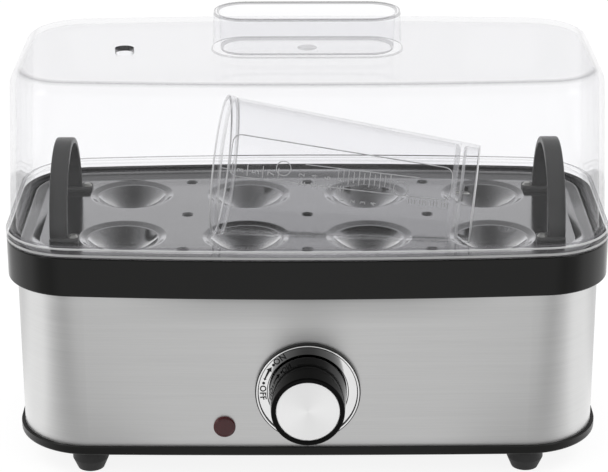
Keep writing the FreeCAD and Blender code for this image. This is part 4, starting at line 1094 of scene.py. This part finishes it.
def scale_shapes(sizes):
    """The moulded scale, laid flat: a frame, two round spots, rows of numbers and rows of marks across it.

    The rows' figures are millimetres."""
    thick = sizes.relief * 2
    line = 0.34 * MM
    corners = [(7 * MM, -4.6 * MM), (96 * MM, -4.4 * MM), (96 * MM, 9 * MM), (7 * MM, 13 * MM)]
    loops = [soften(evenly(corners, 4 * MM), 8, True)]
    loops += [circle((x * MM, y * MM), 2.9 * MM, 40) for x, y in ((28.5, 0.8), (75.9, -1.8))]
    shapes = [loop_bar(loop, line, thick) for loop in loops]
    # First number, step to the next, height, place of the first along and round the beaker, distance between
    numbers = [(1, 2, 2.8, 5.2, -1.9, 6.2), (2, 2, 2.3, 36.0, -1.0, 5.2), (1, 1, 2.1, 53.0, -9.4, 4.2)]
    for first, step, height, x, y, pitch in numbers:
        for k in range(4):
            digits = lettering(str(first + step * k), height * MM, thick)
            shapes.append(moved(digits, (x + pitch * k) * MM, y * MM, QUARTER_TURN))
    # Length of a mark, place of the first along and round the beaker, distance between, how many
    marks = [(4.6, 8.0, -1.6, 6.2, 4), (6.2, 50.5, 0.4, 4.2, 6), (4.4, 52.6, 0.4, 4.2, 5)]
    marks += [(2.0, 35.0 + 5.2 * k, -4.6, 1.2, 3) for k in range(4)]
    marks += [(2.0, 79.6 + 4.4 * k, -6.4, 1.2, 3) for k in range(4)]
    for length, x, y, pitch, count in marks:
        mark = bar(length * MM, line, thick)
        shapes += [moved(mark, (x + pitch * k) * MM, y * MM, QUARTER_TURN) for k in range(count)]
    shapes.append(moved(bar(46 * MM, line, thick), 60 * MM, 3.4 * MM))
    return shapes


def dial_section(sizes):
    """Half section of the dial ring: plate, well, printed face and the rounded outer lip."""
    bore = 4.2 * MM
    well = 16.7 * MM
    lip = 20.5 * MM
    return soften([
        (bore, 0, 0),
        (DIAL_RIM, 0, 0.2 * MM),
        (DIAL_RIM, sizes.lip, 0.45 * MM),
        (lip, sizes.lip, 0.45 * MM),
        (lip, sizes.face, 0.25 * MM),
        (well, sizes.face, 0.35 * MM),
        (well, 0.6 * MM, 0.1 * MM),
        (bore, 0.6 * MM, 0),
    ], closed=True)


def shadow_ring_section(sizes):
    """Half section of the thin black ring round the dial ring, a dark piece that stands in for the shadow
    gap at its edge.
    """
    outer = DIAL_RIM + 0.4 * MM
    corners = [(DIAL_RIM, 0.05 * MM), (outer, 0.05 * MM), (outer, sizes.lip - 0.5 * MM),
               (DIAL_RIM, sizes.lip - 0.35 * MM)]
    return soften(evenly(corners, 0.15 * MM), 4, True)


def wrap_on_dial(shape, height, radius, outward=True):
    """Bends a flat shape onto the dial: its first number runs round from the left, its second outwards."""
    points, faces = shape
    turn = points[:, 0] / radius
    reach = radius + (points[:, 1] if outward else -points[:, 1])
    x = -reach * np.cos(turn)
    z = reach * np.sin(turn)
    y = -(height + points[:, 2])
    return np.array(DIAL_CENTRE) + np.stack([x, y, z], 1), faces


def arrow_shape(start, end, thickness):
    """Arrow that widens from its tail to its head, with a small barb at the tail."""
    barb = start + 0.9 * MM
    neck = end - 2.0 * MM
    line = np.array([(start, 0.05 * MM), (barb, 0.72 * MM), (barb, 0.30 * MM), (neck, 0.52 * MM),
                     (neck, 1.15 * MM), (end, 0.05 * MM)])
    return flat_outline([np.concatenate([line, line[::-1] * (1, -1)])], thickness)


def dial_print(sizes):
    """The dial's marks: a dot for each stop, the arrow between them, and the words OFF and ON.

    Their places are degrees round the ring from its left, and OFF reads from the other side."""
    ink = 0.06 * MM
    bold = 0.09 * MM
    radius = sizes.print_radius
    top = sizes.face + ink
    middle = sizes.face + ink / 2
    degree = math.radians(1) * radius
    dots = [flat_outline([circle((turn * degree, 0), 0.62 * MM, 28)], ink) for turn in (12.8, 41.0)]
    shapes = [wrap_on_dial(dot, top, radius) for dot in dots]
    shapes.append(wrap_on_dial(arrow_shape(16.6 * degree, 37.4 * degree, ink), top, radius))
    on_word = moved(lettering("ON", sizes.letter, ink, bold), 52.0 * degree)
    shapes.append(wrap_on_dial(on_word, middle, radius))
    points, faces = moved(lettering("OFF", sizes.letter, ink, bold), 0.5 * degree)
    shapes.append(wrap_on_dial((points * (-1, 1, 1), faces), middle, radius, False))
    return shapes


def knob_section(sizes):
    """Half section of the knob: hollow skirt, tapered side, rounded front edge and the seat of its disc."""
    reach = sizes.knob_reach
    back = 2.0 * MM
    hub = 6.3 * MM
    seat = reach - 1.4 * MM
    crown = seat - 2.2 * MM
    return soften([
        (0, crown, 0),
        (3.0 * MM, crown, 0),
        (3.0 * MM, hub, 0.2 * MM),
        (6.0 * MM, hub, 0.2 * MM),
        (6.0 * MM, crown, 0.2 * MM),
        (12.8 * MM, crown, 0.8 * MM),
        (14.0 * MM, back, 0.3 * MM),
        (16.2 * MM, back, 0.5 * MM),
        (16.1 * MM, back + 1.6 * MM, 0.2 * MM),
        (15.0 * MM, reach, 1.1 * MM),
        (13.1 * MM, reach, 0.35 * MM),
        (13.1 * MM, seat, 0.1 * MM),
        (0, seat, 0),
    ], 6)


def disc_section(sizes):
    """Half section of the disc: flat back, bevelled edge and a front that dips slightly to its middle."""
    front = sizes.knob_reach - 0.6 * MM
    edge = 13.05 * MM
    return soften([
        (0, front - 0.8 * MM, 0),
        (edge, front - 0.8 * MM, 0.1 * MM),
        (edge, front - 0.1 * MM, 0.15 * MM),
        (12.6 * MM, front, 0.2 * MM),
        (6.0 * MM, front - 0.05 * MM, 2.5 * MM),
        (0, front - 0.08 * MM, 0),
    ], 4)


def lens_section(sizes):
    """Half section of the lamp's lens: straight collar, rounded shoulder, and a low dome in a ring."""
    r = sizes.lens
    return soften([
        (0, 0, 0),
        (r, 0, 0.1 * MM),
        (r, 1.0 * MM, 0.5 * MM),
        (r - 0.9 * MM, 1.45 * MM, 0.3 * MM),
        (r - 1.15 * MM, 1.2 * MM, 0.2 * MM),
        (r - 1.5 * MM, 1.35 * MM, 0.4 * MM),
        (0, 1.6 * MM, 0),
    ], 4)


class OBJECT_OT_boiler_finishes(bpy.types.Operator):
    """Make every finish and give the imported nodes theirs"""
    bl_idname = "object.boiler_finishes"
    bl_label = "Finishes"

    def execute(self, context):
        FINISHES.update(make_finishes(context.scene.boiler_colours))
        for entry in frame["record"]["subparts"]:
            mesh = frame["nodes"][entry["node"]].data
            mesh.materials.clear()
            mesh.materials.append(FINISHES[entry["material_slot"]])
        return {"FINISHED"}


class OBJECT_OT_boiler_lid(bpy.types.Operator):
    """Make the clear lid with its flange, grip ring and vent"""
    bl_idname = "object.boiler_lid"
    bl_label = "Clear lid"

    def execute(self, context):
        sizes = context.scene.boiler_lid
        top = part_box("lid_shell")[1].z - sizes.grip_height
        half = sizes.sheet / 2
        middle = (VENT_X, MIDDLE_Y, top - half)
        put(bored(lid_mesh(sizes), middle, sizes.vent, 4 * MM), "lid", "clear_lid", ["lid_shell"])
        inner = sizes.vent - 0.25 * MM
        ring = [(inner, -half), (sizes.vent, -half), (sizes.vent, half), (inner, half)]
        vent = mesh_of("vent_wall", [lathe(ring, middle, UP, 48)])
        # Painted shade on the far half of the vent's wall, for the dark that it shows by refraction.
        carry(vent, "shade", np.clip((places(vent)[:, 1] - MIDDLE_Y) / sizes.vent + 0.7, 0, 1))
        put(vent, "lid", "clear_lid", finish="vent_wall")
        put(mesh_of("lid_gate_mark", [gate_mark(4.2 * MM, top)]), "lid", "clear_lid", finish="moulded_scale")
        return {"FINISHED"}


class OBJECT_OT_boiler_tray(bpy.types.Operator):
    """Make the pressed egg tray and its two arched handles"""
    bl_idname = "object.boiler_tray"
    bl_label = "Egg tray and handles"

    def execute(self, context):
        sizes = context.scene.boiler_tray
        pressed = mesh_of("pressed_tray", tray_skins(sizes))
        # The tray's painted shade and painted reflections, carried on its vertices.
        carry(pressed, "shade", painted_tray_shade_and_reflections(places(pressed), sizes))
        put(pressed, "tray", "tray_steel", ["egg_tray"])
        for side, name in ((-1, "left"), (1, "right")):
            mesh = mesh_of("arched_handle_" + name, handle_skins(side, sizes))
            put(mesh, "tray", "handle_grey", ["tray_handle_" + name])
        return {"FINISHED"}


class OBJECT_OT_boiler_beaker(bpy.types.Operator):
    """Make the measuring beaker and its moulded scale"""
    bl_idname = "object.boiler_beaker"
    bl_label = "Measuring beaker"

    def execute(self, context):
        sizes = context.scene.boiler_beaker
        put(beaker_mesh(sizes), "beaker", "clear_beaker", ["beaker_cup"])
        shapes = [wrap_on_beaker(shape, sizes) for shape in scale_shapes(sizes)]
        put(mesh_of("beaker_scale", shapes), "beaker", "clear_beaker", finish="moulded_scale")
        return {"FINISHED"}


class OBJECT_OT_boiler_dial(bpy.types.Operator):
    """Make the dial ring with its marks, the knob, its disc and the lamp's lens"""
    bl_idname = "object.boiler_dial"
    bl_label = "Dial, knob and lamp"

    def execute(self, context):
        sizes = context.scene.boiler_dial
        low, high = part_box("lamp_lens")
        lamp = ((low.x + high.x) / 2, high.y, (low.z + high.z) / 2)
        ring, shadow_ring, knob, disc = (
            [lathe(section(sizes), DIAL_CENTRE, FORWARD, 120)]
            for section in (dial_section, shadow_ring_section, knob_section, disc_section)
        )
        put(mesh_of("bright_dial_ring", ring), "base", "chrome_ring", ["dial_ring"])
        # Painted shade: a black ring that stands in for the shadow gap round the dial ring.
        put(mesh_of("dial_shadow_ring", shadow_ring), "base", "black_gloss")
        put(mesh_of("dial_marks", dial_print(sizes)), "base", "black_satin", finish="dial_ink")
        put(mesh_of("gloss_knob", knob), "knob", "black_gloss", ["knob"], "knob_gloss")
        put(mesh_of("spun_disc", disc), "knob", "spun_aluminium", ["knob_disc"])
        lens = lathe(lens_section(sizes), lamp, FORWARD, 72)
        put(mesh_of("ringed_lens", [lens]), "base", "red_lens", ["lamp_lens"])
        return {"FINISHED"}


def soft_lamp(name, place, target, width, height, power, mirrored):
    """Area lamp that looks at a target, and shows in mirrors or not."""
    data = bpy.data.lights.new(name, "AREA")
    data.shape = "RECTANGLE"
    data.size = width
    data.size_y = height
    data.energy = power
    lamp = bpy.data.objects.new(name, data)
    lamp.location = place
    lamp.rotation_euler = (Vector(target) - Vector(place)).to_track_quat("-Z", "Y").to_euler()
    lamp.visible_glossy = mirrored
    bpy.context.scene.collection.objects.link(lamp)


def floor_finish(tint):
    """Pale floor that keeps a faint shadow: a matt surface that also glows where the camera or clear
    plastic looks at it.

    Mirrors see only a glow that changes round the object, as with light boards at its two sides: the
    angle from the front, as a share of half a turn, is worked out from the floor's own coordinates."""
    finish = Finish("studio floor")
    place = finish.place(centre=(0, MIDDLE_Y, 0))
    turn = finish.axis(place, "X").unsigned().angle(finish.axis(place, "Y") * -1.0) / math.pi
    seen = finish.ray("Camera") + finish.ray("Transmission")
    matt = finish.out("ShaderNodeBsdfDiffuse", {"Color": (*tint, 1)})
    glow = finish.out("ShaderNodeEmission", {"Strength": seen * FLOOR_GLOW})
    lit = finish.out("ShaderNodeAddShader", {0: matt, 1: glow})
    boards = finish.out("ShaderNodeEmission", {"Strength": finish.ramp(turn, BOARD_STOPS) * BOARD_GLOW})
    return finish.done(finish.mix(finish.ray("Glossy"), lit, boards))


def studio_world():
    """White where the camera or clear plastic looks past the floor, a soft room for matt surfaces, and for
    mirrors a white wall under a dim ceiling."""
    room = Finish("soft room", "worlds")
    seen = room.ray("Camera") + room.ray("Transmission")
    mirror = room.ray("Glossy")
    height = room.axis(room.node("ShaderNodeTexCoord").outputs["Generated"], "Z")
    strength = (1 - mirror) * ROOM_GLOW + mirror * room.ramp(height, CEILING_STOPS)
    grey = room.out("ShaderNodeBackground", {"Color": WHITE, "Strength": strength})
    white = room.out("ShaderNodeBackground", {"Color": WHITE})
    return room.done(room.mix(seen, grey, white), "ShaderNodeOutputWorld")


class OBJECT_OT_boiler_studio(bpy.types.Operator):
    """Make the floor, the soft lamps and the camera"""
    bl_idname = "object.boiler_studio"
    bl_label = "Studio"

    def execute(self, context):
        scene = context.scene
        mesh = bpy.data.meshes.new("studio_floor")
        corners = [(x, y, 0) for x, y in rectangle(FLOOR_SPAN, FLOOR_SPAN)]
        mesh.from_pydata(corners, [], [(0, 1, 2, 3)])
        mesh.materials.append(floor_finish(tuple(scene.boiler_colours.floor)))
        floor = bpy.data.objects.new("studio_floor", mesh)
        scene.collection.objects.link(floor)
        for name, (x, y, z), width, height, power, mirrored in SOFTBOXES:
            for word, side in (("left", -1), ("right", 1)):
                place = (side * x, y, z)
                soft_lamp(name.format(word), place, LAMP_TARGET, width, height, power, mirrored)
        scene.world = studio_world()
        data = bpy.data.cameras.new("photo camera")
        data.sensor_width = 36
        data.lens = CAMERA_LENS
        camera = bpy.data.objects.new("photo camera", data)
        turned = Matrix.Rotation(CAMERA_TILT, 4, "X") @ Matrix.Rotation(CAMERA_ROLL, 4, "Z")
        camera.matrix_world = Matrix.Translation(CAMERA_PLACE) @ turned
        scene.collection.objects.link(camera)
        scene.camera = camera
        scene.view_settings.view_transform = "Standard"
        return {"FINISHED"}


class VIEW3D_PT_boiler(bpy.types.Panel):
    """Lists the egg boiler's pieces"""
    bl_label = "Egg boiler"
    bl_idname = "VIEW3D_PT_boiler"
    bl_space_type = "VIEW_3D"
    bl_region_type = "UI"
    bl_category = "Egg boiler"

    def draw(self, context):
        for operator in OPERATORS:
            self.layout.operator(operator.bl_idname)
        for group in GROUPS:
            settings = getattr(context.scene, group)
            for key in settings.bl_rna.properties.keys():
                if key not in ("rna_type", "name"):
                    self.layout.prop(settings, key)


GROUPS = {
    "boiler_lid": LidSizes,
    "boiler_tray": TraySizes,
    "boiler_beaker": BeakerSizes,
    "boiler_dial": DialSizes,
    "boiler_colours": FinishColours,
}
OPERATORS = (
    OBJECT_OT_boiler_finishes,
    OBJECT_OT_boiler_lid,
    OBJECT_OT_boiler_tray,
    OBJECT_OT_boiler_beaker,
    OBJECT_OT_boiler_dial,
    OBJECT_OT_boiler_studio,
)


def register():
    """Adds the classes and their settings."""
    for name, group in GROUPS.items():
        bpy.utils.register_class(group)
        setattr(bpy.types.Scene, name, PointerProperty(type=group))
    for operator in OPERATORS:
        bpy.utils.register_class(operator)
    bpy.utils.register_class(VIEW3D_PT_boiler)


def unregister():
    """Takes the classes and their settings away."""
    bpy.utils.unregister_class(VIEW3D_PT_boiler)
    for operator in reversed(OPERATORS):
        bpy.utils.unregister_class(operator)
    for name, group in reversed(GROUPS.items()):
        delattr(bpy.types.Scene, name)
        bpy.utils.unregister_class(group)


def main():
    """Makes every piece in order."""
    register()
    bpy.ops.object.boiler_finishes()
    bpy.ops.object.boiler_lid()
    bpy.ops.object.boiler_tray()
    bpy.ops.object.boiler_beaker()
    bpy.ops.object.boiler_dial()
    bpy.ops.object.boiler_studio()


if __name__ == "__main__":
    main()
